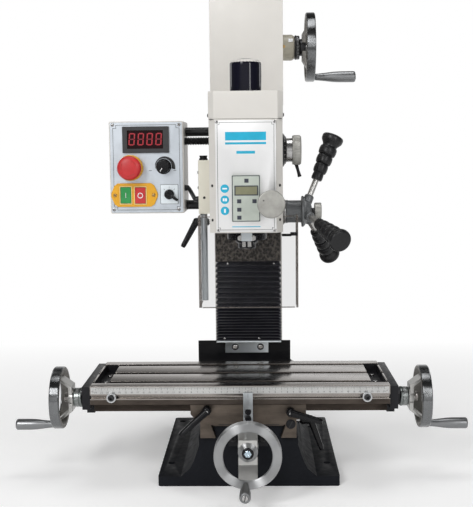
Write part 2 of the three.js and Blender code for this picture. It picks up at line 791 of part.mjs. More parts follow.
function makeFrontPlate() {
  const face = HEAD_FRONT - GAP;
  const plate = box([-49, 49], [face - 2, face], [437, 617]);
  const hole = cylinder("y", 9, [face - 5, face + 2], [FINE_FEED.x, 0, FINE_FEED.z], 20);
  piece("head_front_plate", FINISH.aluminium, cut(plate, hole));
  const unitFace = face - 2 - GAP;
  const unit = box([-23, 23], [unitFace - 10, unitFace], [454, 529.5]);
  piece("quill_read_out", FINISH.readOut, unit);
}

function makeWayCover() {
  const [inner, outer] = [COLUMN_WIDTH / 2 + 1, COLUMN_WIDTH / 2 + 3];
  const front = SPINDLE_Y + 152;
  const back = front + 42;
  const outline = mirrored([[inner, front + 2], [inner, back], [outer, back], [outer, front]]);
  piece("way_cover", FINISH.cream, extruded("z", outline, [SLIDE_TOP + GAP, COLUMN_TOP]));
}

function makeMotor() {
  const at = [0, SPINDLE_Y + 86, 0];
  const body = turned("z", [
    [0, 480],
    [34, 480],
    [38, 484],
    [38, 582],
    [30, 588],
    [7, 588],
    [7, 612],
    [0, 612],
  ], at, 24);
  piece("motor", FINISH.blackSteel, body);
}

function makeSpindle() {
  const at = [0, SPINDLE_Y, 0];
  const quill = join(
    turned("z", [
      [20, QUILL_END],
      [QUILL_RADIUS, QUILL_END],
      [QUILL_RADIUS, 552],
      [20, 552],
      [20, QUILL_END],
    ], at, 24),
    box([-8.6, 8.6], [SPINDLE_Y - 44, SPINDLE_Y - 30], [QUILL_END, 433]),
  );
  const rackFlat = box([-12, 12], [FEED.y - 10.2, FEED.y + 10], [430, 560]);
  piece("quill", FINISH.blackSteel, cut(quill, rackFlat));
  const spindle = turned("z", [
    [0, 404],
    [15, 404],
    [15, 411],
    [19, 414],
    [19, 418],
    [19.6, 418.5],
    [19.6, 560],
    [12, 562],
    [12, 640],
    [6, 642],
    [6, 690],
    [0, 690],
  ], at, 20);
  const taperBore = turned("z", [[0, 403], [11, 403], [8, 470], [0, 470]], at, 20);
  piece("spindle", FINISH.polished, cut(spindle, taperBore));
}

// ---------- quill feed ----------
function handlePoint(index, share) {
  const angle = ((-HANDLE_START + index * 120) * Math.PI) / 180;
  const x = HANDLE_FOOT.x + (HANDLE_TIP.x - HANDLE_FOOT.x) * share;
  const radius = HANDLE_FOOT.radius + (HANDLE_TIP.radius - HANDLE_FOOT.radius) * share;
  return [x, FEED.y - radius * Math.sin(angle), FEED.z + radius * Math.cos(angle)];
}

function makeFeedHub() {
  const at = [0, FEED.y, FEED.z];
  const reach = Math.hypot(HANDLE_TIP.x - HANDLE_FOOT.x, HANDLE_TIP.radius - HANDLE_FOOT.radius);
  const gripShare = 1 - GRIP_LENGTH / reach;
  const outside = HEAD_HALF_WIDTH + 4;
  const parts = [
    turned("x", [
      [0, outside],
      [21, outside],
      [21, outside + 3],
      [19.5, outside + 6],
      [19.5, 94.5],
      [27, 94.5],
      [27, 98],
      [19, 103],
      [16, 111],
      [8, 112.5],
      [6, 112.5],
      [6, 116.5],
      [0, 116.5],
    ], at, 20),
    cylinder("x", 8, [-24, outside + 2], at, 14),
    cylinder("x", 9.6, [-11, 11], at, 16),
    cylinder("x", 13.6, [35, 46], at, 16),
  ];
  for (const index of [0, 1, 2]) {
    parts.push(rodBetween(handlePoint(index, 0), handlePoint(index, gripShare - 0.004), 5, 10));
  }
  piece("feed_hub", FINISH.greyCasting, join(...parts));
  const ribs = [[0, 0], [7.5, 0]];
  const ribCount = 4;
  for (let i = 0; i < ribCount; i++) {
    const start = 12 + i * 15;
    const radius = 10 + i * 1.8;
    ribs.push([radius - 3, start - 6], [radius, start], [radius, start + 4]);
  }
  ribs.push([19, GRIP_LENGTH - 8], [19, GRIP_LENGTH - 3], [14, GRIP_LENGTH], [0, GRIP_LENGTH]);
  for (const index of [0, 1, 2]) {
    const grip = between(handlePoint(index, gripShare), handlePoint(index, 1), ribs, 14);
    piece(`feed_grip_${index + 1}`, FINISH.rubber, grip);
  }
  const clutch = cylinder("x", 15, [117, 129], at, 24);
  piece("feed_clutch_knob", FINISH.greyCasting, clutch);
}

function makeFineFeed() {
  const back = FEED.y - 14;
  const body = join(
    turned("y", [
      [0, -252],
      [19, -252],
      [22, -249],
      [22, -240],
      [17, -237],
      [12, -230],
      [0, -230],
    ], [FINE_FEED.x, 0, FINE_FEED.z], 20),
    cylinder("y", 5, [-232, back], [FINE_FEED.x, 0, FINE_FEED.z], 14),
  );
  piece("fine_feed_knob", FINISH.greyCasting, body);
}

function makeGearSelector() {
  const start = HEAD_HALF_WIDTH + 7 + GAP;
  const at = [0, SPINDLE_Y, SELECTOR_Z];
  const knob = turned("x", [
    [0, 46],
    [6, 46],
    [6, start],
    [20, start],
    [20, 78],
    [25, 79],
    [25, 90.5],
    [23, 92.3],
    [0, 92.3],
  ], at, 20);
  const lever = rodBetween([84, SPINDLE_Y, SELECTOR_Z - 22], [90, SPINDLE_Y, SELECTOR_Z - 45], 3, 8);
  piece("gear_selector", FINISH.greyCasting, join(knob, lever));
}

function makeHeadLock() {
  const y = SPINDLE_Y + 100;
  const lever = lockLeverSolid([-HEAD_HALF_WIDTH - GAP, y, 441], [-98, y, 441], [-118, y - 4, 396]);
  piece("head_lock_lever", FINISH.blackPlastic, lever);
}

// ---------- guard ----------
function makeGuard() {
  const { x, y, radius } = GUARD_ROD;
  const face = -HEAD_HALF_WIDTH - GAP;
  const block = join(
    box([-82, face], [y - 15, y + 15], [462, 553]),
    cylinder("z", 7, [552, 561], [x, y, 0], 16),
  );
  piece("guard_block", FINISH.cream, block);
  const { left, right, bottom, top, front: frontY } = GUARD_SHEET;
  const rod = cylinder("z", radius, [bottom + 2, 462 - GAP], [x, y, 0], 16);
  const sheet = [
    [left, y - 2],
    [left, frontY + 6],
    [left + 6, frontY],
    [right - 4, frontY],
    [right, frontY + 4],
    [right, frontY + 32],
    [right - 3, frontY + 32],
    [right - 3, frontY + 6],
    [right - 6, frontY + 3],
    [left + 8, frontY + 3],
    [left + 3, frontY + 8],
    [left + 3, y - 2],
  ];
  const clips = [[416, 426], [330, 340]].map(([z0, z1]) => box([left, x], [y - 5, y + 3], [z0, z1]));
  piece("chuck_guard", FINISH.clear, join(extruded("z", sheet, [bottom, top]), rod, ...clips));
}

// ---------- electrics ----------
function makeControlBox() {
  const { left, right, bottom, top, front, depth } = PANEL;
  const wall = 3.5;
  let body = cut(
    box([left, right], [front, front + depth], [bottom, top]),
    box([left + wall, right - wall], [front + wall, front + depth - wall], [bottom + wall, top - wall]),
  );
  const holes = [[E_STOP, 11], [SPEED_KNOB, 3.5], [DIRECTION, 3.5]];
  for (const [at, radius] of holes) {
    body = cut(body, cylinder("y", radius + GAP, [front - 2, front + 8], [at.x, 0, at.z], 18));
  }
  for (const at of [START, STOP]) {
    const xs = [at.x - 9.4, at.x + 9.4];
    body = cut(body, box(xs, [front - 2, front + 8], [at.z - 14.4, at.z + 14.4]));
  }
  const back = front + depth;
  const gland = cylinder("y", 9, [back - 1, back + 12], [GLAND.x, 0, GLAND.z], 12);
  piece("control_box", FINISH.cream, join(body, gland));
}

function makeControls() {
  const front = PANEL.front;
  const mushroom = turned("y", [
    [0, front - 31],
    [12, front - 31],
    [18, front - 28],
    [21, front - 23],
    [21, front - 18],
    [17, front - 15],
    [11, front - 14],
    [11, front + 6],
    [0, front + 6],
  ], [E_STOP.x, 0, E_STOP.z], 18);
  piece("emergency_stop", FINISH.red, mushroom);
  const knob = turned("y", [
    [0, front - 16],
    [11, front - 16],
    [13.5, front - 2],
    [13.5, front - 1],
    [3.5, front - 1],
    [3.5, front + 6],
    [0, front + 6],
  ], [SPEED_KNOB.x, 0, SPEED_KNOB.z], 20);
  piece("speed_knob", FINISH.blackPlastic, knob);
  const buttons = [["start_button", FINISH.green, START], ["stop_button", FINISH.red, STOP]];
  for (const [name, material, at] of buttons) {
    const xs = [at.x - 9, at.x + 9];
    piece(name, material, box(xs, [front - 6, front + 3], [at.z - 14, at.z + 14]));
  }
  const pivot = turned("y", [
    [0, front - 9],
    [8, front - 9],
    [9, front - 1],
    [3.5, front - 1],
    [3.5, front + 6],
    [0, front + 6],
  ], [DIRECTION.x, 0, DIRECTION.z], 18);
  const leverFoot = [DIRECTION.x + 4, front - 5, DIRECTION.z - 3];
  const leverTip = [DIRECTION.x + 15.5, front - 16, DIRECTION.z - 10];
  piece("direction_switch", FINISH.blackPlastic, join(pivot, rodBetween(leverFoot, leverTip, 3, 8)));
}

function makeArms() {
  const y = ARM_Y;
  const [from, to] = [PANEL.right + GAP, -HEAD_HALF_WIDTH - GAP];
  const body = join(
    cylinder("x", UPPER_ARM.radius, [from, to], [0, y, UPPER_ARM.z], 16),
    cylinder("x", LOWER_ARM.radius, [from, to], [0, y, LOWER_ARM.z], 16),
    box([to - 4.6, to], [y - 11, y + 11], [LOWER_ARM.z - 11.8, UPPER_ARM.z + 11.2]),
  );
  piece("control_arms", FINISH.blackSteel, body);
  const conduitY = y - 26;
  const conduit = [
    [from, conduitY, 585],
    [-98, conduitY, 585],
    [-80, conduitY, 585.5],
    [to, conduitY, 586],
  ];
  piece("wiring_conduit", FINISH.blackPlastic, hosed(conduit, 6.3, 6));
}

function makeGuardCable() {
  const start = [PANEL.right + GAP, PANEL.front + 14, 504];
  const end = [-82 - GAP, GUARD_ROD.y + 4, 486];
  const points = [
    start,
    [start[0] + 6, start[1], start[2]],
    [-96, (start[1] + end[1]) / 2, 495],
    [end[0] - 6, end[1], end[2]],
    end,
  ];
  piece("guard_cable", FINISH.rubber, hosed(points, 3.7, 12, 8));
}

makeBase();
makeColumn();
makeBellowsBracket();
makeBellows();
makeChipFlap();
makeSaddleFeed();
makeHeadFeed();
makeSaddle();
makeFeedNuts();
makeSaddlePointer();
makeLockLevers();
makeTable();
makeTableEndCaps();
makeTableStops();
makeTableFeed();
makeSlide();
makeHeadCasting();
makeHeadCover();
makeFrontPlate();
makeWayCover();
makeMotor();
makeSpindle();
makeFeedHub();
makeFineFeed();
makeGearSelector();
makeHeadLock();
makeGuard();
makeControlBox();
makeControls();
makeArms();
makeGuardCable();

export default group;
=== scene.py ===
"""Bench-top vertical milling machine: looks, camera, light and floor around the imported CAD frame.

All sizes below are in millimetres in the machine's own frame (+Z up, the operator at -Y).
A Shape turns them into metres when it becomes a piece.
"""

import json
import math

import bmesh
import bpy
from mathutils import Matrix, Vector
from mathutils.geometry import delaunay_2d_cdt


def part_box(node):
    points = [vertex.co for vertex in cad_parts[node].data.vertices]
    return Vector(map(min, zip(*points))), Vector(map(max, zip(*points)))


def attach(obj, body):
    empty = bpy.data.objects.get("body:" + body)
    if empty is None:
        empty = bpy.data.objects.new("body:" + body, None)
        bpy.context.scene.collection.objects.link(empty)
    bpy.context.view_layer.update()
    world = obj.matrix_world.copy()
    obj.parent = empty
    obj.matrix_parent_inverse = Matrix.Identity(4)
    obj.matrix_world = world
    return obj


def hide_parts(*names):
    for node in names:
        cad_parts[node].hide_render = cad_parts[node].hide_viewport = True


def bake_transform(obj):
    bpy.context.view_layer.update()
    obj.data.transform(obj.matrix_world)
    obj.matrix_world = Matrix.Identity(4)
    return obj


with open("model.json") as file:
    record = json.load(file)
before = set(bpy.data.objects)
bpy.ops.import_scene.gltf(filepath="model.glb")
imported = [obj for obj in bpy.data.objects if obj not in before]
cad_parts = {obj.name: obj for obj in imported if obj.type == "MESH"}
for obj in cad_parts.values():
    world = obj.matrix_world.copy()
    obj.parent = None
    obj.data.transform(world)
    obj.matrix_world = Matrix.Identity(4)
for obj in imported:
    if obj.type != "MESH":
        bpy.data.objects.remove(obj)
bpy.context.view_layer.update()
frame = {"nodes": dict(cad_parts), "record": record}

MM = 0.001
TURN = 2 * math.pi
SIDES = (("left", -1, "-x"), ("right", 1, "x"))
AXES = {
    "x": Matrix(((0, 0, 1), (1, 0, 0), (0, 1, 0))),
    "y": Matrix(((1, 0, 0), (0, 0, 1), (0, -1, 0))),
    "z": Matrix(((1, 0, 0), (0, 1, 0), (0, 0, 1))),
    "-x": Matrix(((0, 0, -1), (-1, 0, 0), (0, 1, 0))),
    "-y": Matrix(((1, 0, 0), (0, 0, -1), (0, 1, 0))),
}


class Span:
    """A CAD node's box in millimetres."""

    def __init__(self, node):
        low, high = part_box(node)
        self.x0, self.y0, self.z0 = (value / MM for value in low)
        self.x1, self.y1, self.z1 = (value / MM for value in high)
        self.cx = (self.x0 + self.x1) / 2
        self.cy = (self.y0 + self.y1) / 2
        self.cz = (self.z0 + self.z1) / 2


span = {node: Span(node) for node in frame["nodes"]}
slot_of_node = {part["node"]: part["material_slot"] for part in frame["record"]["subparts"]}
body_of_node = {}
for body_name, held in frame["record"]["behaviour"]["bodies"].items():
    body_of_node.update(dict.fromkeys(held, body_name))


# ---------- shapes ----------
class Shape:
    """Points in millimetres and faces, gathered before they become one mesh."""

    def __init__(self, points=(), faces=()):
        self.points = [Vector(point) for point in points]
        self.faces = [list(face) for face in faces]

    def __add__(self, other):
        start = len(self.points)
        faces = self.faces + [[index + start for index in face] for face in other.faces]
        return Shape(self.points + other.points, faces)

    def turned(self, axis, angle, about=(0, 0, 0)):
        turn = Matrix.Rotation(math.radians(angle), 3, axis.upper())
        centre = Vector(about)
        return Shape([turn @ (point - centre) + centre for point in self.points], self.faces)

    def along(self, axis, at):
        """The shape with its local Z laid along an axis, from a point."""
        return Shape([AXES[axis] @ point + Vector(at) for point in self.points], self.faces)

    def moved(self, step):
        return Shape([point + Vector(step) for point in self.points], self.faces)

    def from_to(self, start, end):
        """The shape with its local Z laid along the line from start towards end."""
        start = Vector(start)
        turn = (Vector(end) - start).to_track_quat("Z", "Y").to_matrix()
        return Shape([turn @ point + start for point in self.points], self.faces)


def lathe(profile, axis="z", at=(0, 0, 0), segments=48):
    """A profile of (radius, distance) points turned round an axis through a point."""
    points, rings = [], []
    for radius, height in profile:
        start = len(points)
        if radius < 1e-6:
            points.append((0, 0, height))
        else:
            points += [(a, b, height) for a, b in circle((0, 0), radius, segments)]
        rings.append(range(start, len(points)))
    faces = []
    for lower, upper in zip(rings, rings[1:]):
        for step in range(segments):
            a, b = lower[step % len(lower)], lower[(step + 1) % len(lower)]
            c, d = upper[(step + 1) % len(upper)], upper[step % len(upper)]
            face = list(dict.fromkeys((a, b, c, d)))
            if len(face) > 2:
                faces.append(face)
    return Shape(points, faces).along(axis, at)


def rounded(profile, radius=1.0, steps=3):
    """The profile with its inner corners rounded by short arcs."""
    smooth = [profile[0]]
    for before, corner, after in zip(profile, profile[1:], profile[2:]):
        here = Vector(corner)
        back, on = Vector(before) - here, Vector(after) - here
        reach = min(radius, back.length / 2.2, on.length / 2.2)
        if reach < 0.05 or abs(back.angle(on) - math.pi) < 0.2:
            smooth.append(corner)
            continue
        start, end = here + back.normalized() * reach, here + on.normalized() * reach
        for step in range(steps + 1):
            share = step / steps
            point = start * (1 - share) ** 2 + here * 2 * share * (1 - share) + end * share**2
            smooth.append(tuple(point))
    smooth.append(profile[-1])
    return smooth


def pin(radius, start, end, inner=0):
    """The profile of a plain round bar, or of a washer when it has an inner radius."""
    return [(inner, start), (radius, start), (radius, end), (inner, end)]


def is_inside(point, loop):
    """Whether a flat point lies within a closed loop."""
    inside = False
    for (ax, ay), (bx, by) in zip(loop, [*loop[1:], loop[0]]):
        if (ay > point[1]) != (by > point[1]) and point[0] < ax + (point[1] - ay) * (bx - ax) / (by - ay):
            inside = not inside
    return inside


def prism(outline, low, high, axis="z", holes=()):
    """An outline pushed along an axis. It is (x, y) for "z", (x, z) for "y" and (y, z) for "x"."""
    flat, edges = [], []
    for loop in (outline, *holes):
        start, count = len(flat), len(loop)
        flat += [Vector(point) for point in loop]
        edges += [(start + step, start + (step + 1) % count) for step in range(count)]
    flat, _, cells = delaunay_2d_cdt(flat, edges, [], 1, 1e-5)[:3]
    triangles = []
    for face in cells:
        middle = (flat[face[0]] + flat[face[1]] + flat[face[2]]) / 3
        if is_inside(middle, outline) and not any(is_inside(middle, hole) for hole in holes):
            triangles.append(face)
    place = {
        "z": lambda a, b, depth: (a, b, depth),
        "y": lambda a, b, depth: (a, depth, b),
        "x": lambda a, b, depth: (depth, a, b),
    }[axis]
    count = len(flat)
    points = [place(a, b, depth) for depth in (low, high) for a, b in flat]
    faces = [list(reversed(face)) for face in triangles]
    faces += [[index + count for index in face] for face in triangles]
    uses = [(a, b) for face in triangles for a, b in zip(face, (*face[1:], face[0]))]
    shared = set(uses)
    faces += [[a, b, b + count, a + count] for a, b in uses if (b, a) not in shared]
    return Shape(points, faces)


def block(xs, ys, zs):
    (x0, x1), (y0, y1), (z0, z1) = xs, ys, zs
    corners = [(x, y, z) for z in (z0, z1) for x, y in ((x0, y0), (x1, y0), (x1, y1), (x0, y1))]
    sides = [[step, (step + 1) % 4, (step + 1) % 4 + 4, step + 4] for step in range(4)]
    return Shape(corners, [[3, 2, 1, 0], [4, 5, 6, 7], *sides])


def circle(centre, radius, segments=32):
    angles = [TURN * step / segments for step in range(segments)]
    return [(centre[0] + radius * math.cos(a), centre[1] + radius * math.sin(a)) for a in angles]


def cog(outer, inner, teeth):
    """The outline of a ring of points that alternate between two radii."""
    even, odd = circle((0, 0), inner, teeth * 2), circle((0, 0), outer, teeth * 2)
    return [odd[index] if index % 2 else even[index] for index in range(teeth * 2)]


def rounded_rectangle(x0, x1, y0, y1, radius, steps=5):
    points = []
    corners = [(x1 - radius, y1 - radius), (x0 + radius, y1 - radius)]
    corners += [(x0 + radius, y0 + radius), (x1 - radius, y0 + radius)]
    for corner, (x, y) in enumerate(corners):
        for step in range(steps + 1):
            angle = (corner + step / steps) * math.pi / 2
            points.append((x + radius * math.cos(angle), y + radius * math.sin(angle)))
    return points


def inset_rectangle(box, inset, radius):
    """The front outline of a box, drawn in by an inset."""
    return rounded_rectangle(box.x0 + inset, box.x1 - inset, box.z0 + inset, box.z1 - inset, radius)


def joined(rings):
    """Faces between closed rings of point numbers that all have the same count."""
    faces = []
    for lower, upper in zip(rings, rings[1:]):
        faces += zip(lower, (*lower[1:], lower[0]), (*upper[1:], upper[0]), upper)
    return faces


def sweep(path, sections):
    """Rings of section points (across, up) joined along a path. There is one section for each point."""
    points, rings = [], []
    spots = [Vector(spot) for spot in path]
    side = None
    for index, spot in enumerate(spots):
        way = spots[min(index + 1, len(spots) - 1)] - spots[max(index - 1, 0)]
        way.normalize()
        if side is None:
            side = way.cross(Vector((0, 0, 1)))
            if side.length < 0.1:
                side = way.cross(Vector((0, 1, 0)))
        side = (side - way * side.dot(way)).normalized()
        up = side.cross(way)
        start = len(points)
        points += [spot + side * a + up * b for a, b in sections[index]]
        rings.append(range(start, len(points)))
    return Shape(points, [*joined(rings), reversed(rings[0]), rings[-1]])


def tube(path, radius, segments=20):
    radii = radius if isinstance(radius, (list, tuple)) else [radius] * len(path)
    return sweep(path, [circle((0, 0), size, segments) for size in radii])


def smooth_path(points, steps=8):
    """A Catmull-Rom curve through the points."""
    spots = [Vector(point) for point in points]
    spots = [spots[0] * 2 - spots[1], *spots, spots[-1] * 2 - spots[-2]]
    path = []
    for a, b, c, d in zip(spots, spots[1:], spots[2:], spots[3:]):
        for step in range(steps):
            t = step / steps
            bend = (2 * a - 5 * b + 4 * c - d) * t**2 + (3 * b - 3 * c + d - a) * t**3
            path.append(0.5 * (2 * b + (c - a) * t + bend))
    path.append(spots[-2])
    return path


# ---------- pieces ----------
def new_piece(name, mesh, material, body, replaces, bevel, angle, slot):
    """An object with smooth shading and an optional rounded edge, which rides on a CAD body."""
    obj = bpy.data.objects.new(name, mesh)
    bpy.context.scene.collection.objects.link(obj)
    mesh.materials.append(material)
    mesh.shade_smooth()
    if bevel:
        soften = obj.modifiers.new("edges", "BEVEL")
        soften.width = bevel * MM
        soften.segments = 3
        soften.limit_method = "ANGLE"
        soften.angle_limit = math.radians(angle)
        soften.harden_normals = True
    else:
        mesh.set_sharp_from_angle(angle=math.radians(angle))
    if body:
        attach(obj, body)
    if replaces:
        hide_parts(replaces)
        slot = slot or slot_of_node[replaces]
    return obj


def piece(name, shape, material, body, replaces=None, bevel=0.0, angle=35, slot=None):
    """A shape as a piece. It stands for the CAD node that it replaces, if it replaces one."""
    mesh = bpy.data.meshes.new(name)
    mesh.from_pydata([point * MM for point in shape.points], [], shape.faces)
    mesh.validate()
    clean = bmesh.new()
    clean.from_mesh(mesh)
    bmesh.ops.recalc_face_normals(clean, faces=clean.faces)
    clean.to_mesh(mesh)
    clean.free()
    return new_piece(name, mesh, material, body, replaces, bevel, angle, slot)


def recast(node, material, bevel):
    """A copy of a CAD node's shape with merged flats and rounded edges, which stands for the node."""
    mesh = bpy.data.meshes.new(f"{node}_body")
    clean = bmesh.new()
    clean.from_mesh(frame["nodes"][node].data)
    bmesh.ops.remove_doubles(clean, verts=clean.verts, dist=0.01 * MM)
    flat = math.radians(0.4)
    bmesh.ops.dissolve_limit(clean, angle_limit=flat, verts=clean.verts, edges=clean.edges)
    clean.to_mesh(mesh)
    clean.free()
    new_piece(mesh.name, mesh, material, body_of_node[node], node, bevel, 35, None)


def dress(node, material):
    """A CAD node that stays gets a better material."""
    frame["nodes"][node].material_slots[0].material = material


def turned(name, profile, soft, axis, at, segments, material, body, replaces=None, **more):
    """A lathe-turned piece. Soft is the radius that its corners are rounded by."""
    if soft:
        profile = rounded(profile, soft)
    return piece(name, lathe(profile, axis, at, segments), material, body, replaces, **more)


def bar(name, xs, ys, zs, material, body, bevel=0.0):
    return piece(name, block(xs, ys, zs), material, body, bevel=bevel)


def panel(name, outline, y0, y1, material, body, holes=(), bevel=0.0):
    """A flat piece that faces the operator, from an outline of (x, z) points."""
    return piece(name, prism(outline, y0, y1, "y", holes), material, body, bevel=bevel)


def print_on(name, outline, face, material, holes=()):
    """A thin printed mark on a flat face of the head that looks along -Y."""
    return panel(name, outline, face - 0.08, face + 0.05, material, "head", holes)


def socket_screw(name, at, way, radius, material, body, height):
    """A cap screw with a hexagon socket. It stands on the point and faces along the way."""
    head = lathe(rounded([(0, 0), *pin(radius, 0, height, radius * 0.58)[1:]], radius * 0.18), way, at, 28)
    rim = circle((0, 0), radius * 0.6, 24)
    ring = prism(rim, height * 0.6, height * 0.99, "z", [circle((0, 0), radius * 0.55, 6)])
    floor = prism(rim, 0, height * 0.45, "z")
    piece(name, head + (ring + floor).along(way, at), material, body)


def cross_screw(name, at, way, radius, material, body, slots=2):
    """A pan-head screw whose slot or cross is a dark sunk bar of painted shade."""
    dome = [(0, 0), (radius, 0), (radius, radius * 0.25), (radius * 0.75, radius * 0.5), (0, radius * 0.62)]
    turned(name, dome, radius * 0.2, way, at, 24, material, body)
    reach, half, top = radius * 0.62, radius * 0.12, radius * 0.66
    bars = Shape()
    for index in range(slots):
        bars += block((-reach, reach), (-half, half), (radius * 0.3, top)).turned("z", 35 + 90 * index)
    piece(f"{name}_slot", bars.along(way, at), DARK_MARK_AND_HOLE_SHADE, body)


# ---------- materials ----------
def ramp(nodes, links, value, stops):
    """Colours along a value between 0 and 1."""
    made = nodes.new("ShaderNodeValToRGB")
    marks = made.color_ramp.elements
    while len(marks) < len(stops):
        marks.new(0.5)
    for mark, (where, color) in zip(marks, stops):
        mark.position = where
        mark.color = (*color, 1)
    links.new(value, made.inputs["Fac"])
    return made.outputs["Color"]


def greys(stops):
    return [(where, (level, level, level)) for where, level in stops]


def spread(nodes, links, value, **limits):
    """A value carried over from one range to another."""
    made = nodes.new("ShaderNodeMapRange")
    for socket, limit in limits.items():
        made.inputs[socket.replace("_", " ")].default_value = limit
    links.new(value, made.inputs["Value"])
    return made.outputs["Result"]


def shade(color, factor):
    return tuple(min(1.0, channel * factor) for channel in color)


class Look:
    """A material that is put together from a Principled shader and noise in object space."""

    def __init__(self, name, roughness, metallic, color, shine=0.5, **sockets):
        self.material = bpy.data.materials.new(name)
        self.material.use_nodes = True
        self.nodes = self.material.node_tree.nodes
        self.links = self.material.node_tree.links
        self.shader = self.nodes["Principled BSDF"]
        self.shader.inputs["Base Color"].default_value = (*color, 1)
        self.shader.inputs["Roughness"].default_value = roughness
        self.shader.inputs["Metallic"].default_value = metallic
        self.shader.inputs["Specular IOR Level"].default_value = shine
        for socket, value in sockets.items():
            self.shader.inputs[socket.replace("_", " ")].default_value = value
        self.place = self.nodes.new("ShaderNodeTexCoord").outputs["Object"]
        self.last_bump = None

    def texture(self, kind, size, stretch):
        """A texture with features about size millimetres across, drawn out where stretch is small."""
        mapping = self.nodes.new("ShaderNodeMapping")
        mapping.inputs["Scale"].default_value = stretch
        self.links.new(self.place, mapping.inputs["Vector"])
        texture = self.nodes.new(kind)
        texture.inputs["Scale"].default_value = 1 / (size * MM)
        self.links.new(mapping.outputs["Vector"], texture.inputs["Vector"])
        return texture

    def noise(self, size, stretch=(1, 1, 1), detail=4.0, rough=0.55):
        texture = self.texture("ShaderNodeTexNoise", size, stretch)
        texture.inputs["Detail"].default_value = detail
        texture.inputs["Roughness"].default_value = rough
        return texture.outputs["Fac"]

    def cells(self, size, stretch):
        return self.texture("ShaderNodeTexVoronoi", size, stretch).outputs["Distance"]

    def color(self, value, stops):
        self.links.new(ramp(self.nodes, self.links, value, stops), self.shader.inputs["Base Color"])
        return self

    def cloud(self, color, size, detail, low, high, start=0.3, end=0.7):
        """A colour that varies slowly between two shades."""
        stops = [(start, shade(color, low)), (end, shade(color, high))]
        return self.color(self.noise(size, detail=detail), stops)

    def roughness(self, value, low, high):
        limits = {"From_Min": 0.3, "From_Max": 0.7, "To_Min": low, "To_Max": high}
        self.links.new(spread(self.nodes, self.links, value, **limits), self.shader.inputs["Roughness"])
        return self

    def bump(self, value, depth):
        bump = self.nodes.new("ShaderNodeBump")
        bump.inputs["Strength"].default_value = 1.0
        bump.inputs["Distance"].default_value = depth * MM
        self.links.new(value, bump.inputs["Height"])
        if self.last_bump:
            self.links.new(self.last_bump, bump.inputs["Normal"])
        self.last_bump = bump.outputs["Normal"]
        self.links.new(self.last_bump, self.shader.inputs["Normal"])
        return self


def paint(name, color, roughness=0.38):
    """Sprayed enamel with a faint orange peel."""
    look = Look(name, roughness, 0.0, color, Coat_Weight=0.15, Coat_Roughness=0.2)
    look.cloud(color, 60, 5, 0.965, 1.02)
    look.roughness(look.noise(14), roughness - 0.05, roughness + 0.08)
    return look.bump(look.noise(1.6, detail=2), 0.05).material


def metal(name, color, roughness, grain=(1, 1, 1), size=1.2, depth=0.01, spread=0.1, stain=0.1):
    """Bare metal. Its grain runs along the axes where grain is small."""
    look = Look(name, roughness, 1.0, color)
    streaks = look.noise(size, grain, detail=3)
    look.cloud(color, 35, 5, 1 - stain, 1 + 0.8 * stain, 0.3, 0.72)
    look.roughness(streaks, max(0.04, roughness - spread), roughness + spread)
    return look.bump(streaks, depth).material


def plastic(name, color, roughness=0.4, grain=0.8, depth=0.02, shine=0.5):
    look = Look(name, roughness, 0.0, color, shine)
    look.cloud(color, 25, 4, 0.9, 1.1)
    look.roughness(look.noise(6), roughness - 0.04, roughness + 0.08)
    return look.bump(look.noise(grain, detail=2), depth).material


def cast_metal(name, color, roughness, metallic, grain, depth, shine=0.5):
    """Painted or bare casting with a grainy skin."""
    look = Look(name, roughness, metallic, color, shine)
    look.cloud(color, 18, 6, 0.8, 1.15, 0.32)
    look.roughness(look.noise(5), roughness - 0.08, roughness + 0.12)
    return look.bump(look.noise(grain, detail=5), depth).material


def chipped_paint(name, color):
    """Thick dark machine enamel with small worn chips and dust in the grain."""
    look = Look(name, 0.5, 0.0, color, 0.3, IOR=1.22)
    look.color(look.noise(7, detail=7, rough=0.7), [
        (0.0, shade(color, 0.85)),
        (0.55, shade(color, 1.15)),
        (0.745, shade(color, 1.5)),
        (0.77, (0.20, 0.16, 0.13)),
    ])
    look.roughness(look.noise(12, detail=6), 0.42, 0.62)
    look.bump(look.noise(9, detail=5), 0.12)
    return look.bump(look.noise(1.8, detail=3), 0.06).material


def machined_iron(name, color):
    """Milled grey iron with cutter marks, oil stains and small pits."""
    look = Look(name, 0.42, 0.85, color)
    stains = look.noise(22, (0.5, 1, 1.2), detail=7)
    look.color(stains, [(0.28, shade(color, 0.6)), (0.5, color), (0.72, shade(color, 1.35))])
    marks = look.noise(1.3, (0.08, 1, 1), detail=3)
    look.roughness(marks, 0.32, 0.58)
    look.bump(marks, 0.03)
    return look.bump(look.noise(3.5, detail=6), 0.05).material


def wrinkled_casting(name, hollow_shade, middle, high):
    """Rough dark casting with a hammered skin. Its hollows are painted darker, a painted shade, and its
    ridges lighter, a painted highlight.
    """
    look = Look(name, 0.5, 0.25, middle, 0.3)
    hollows = look.cells(4.6, (1, 1, 0.75))
    # Painted shade in the hollows, the casting's own colour between them, and a painted highlight on the
    # ridges.
    look.color(hollows, [(0.1, hollow_shade), (0.45, middle), (0.8, high)])
    look.bump(hollows, 0.9)
    return look.bump(look.noise(1.5), 0.1).material


def bellows_fabric(name, dark, light):
    look = Look(name, 0.42, 0.0, dark, 0.3, Sheen_Weight=0.06, Sheen_Tint=(0.5, 0.55, 0.8, 1))
    look.color(look.noise(30, detail=6), [(0.35, dark), (0.7, light)])
    look.roughness(look.noise(9, detail=5), 0.32, 0.6)
    return look.bump(look.noise(0.7, detail=1), 0.03).material


def clear_sheet(name, tint, alpha, roughness=0.06):
    look = Look(name, roughness, 0.0, tint, 0.1, IOR=1.5, Alpha=alpha)
    look.roughness(look.noise(40, detail=6), roughness, roughness + 0.12)
    return look.bump(look.noise(120, detail=2), 0.2).material


def glowing(name, color, strength):
    look = Look(name, 0.35, 0.0, color, Emission_Color=(*color, 1), Emission_Strength=strength)
    return look.cloud(color, 3, 4, 0.85, 1).material


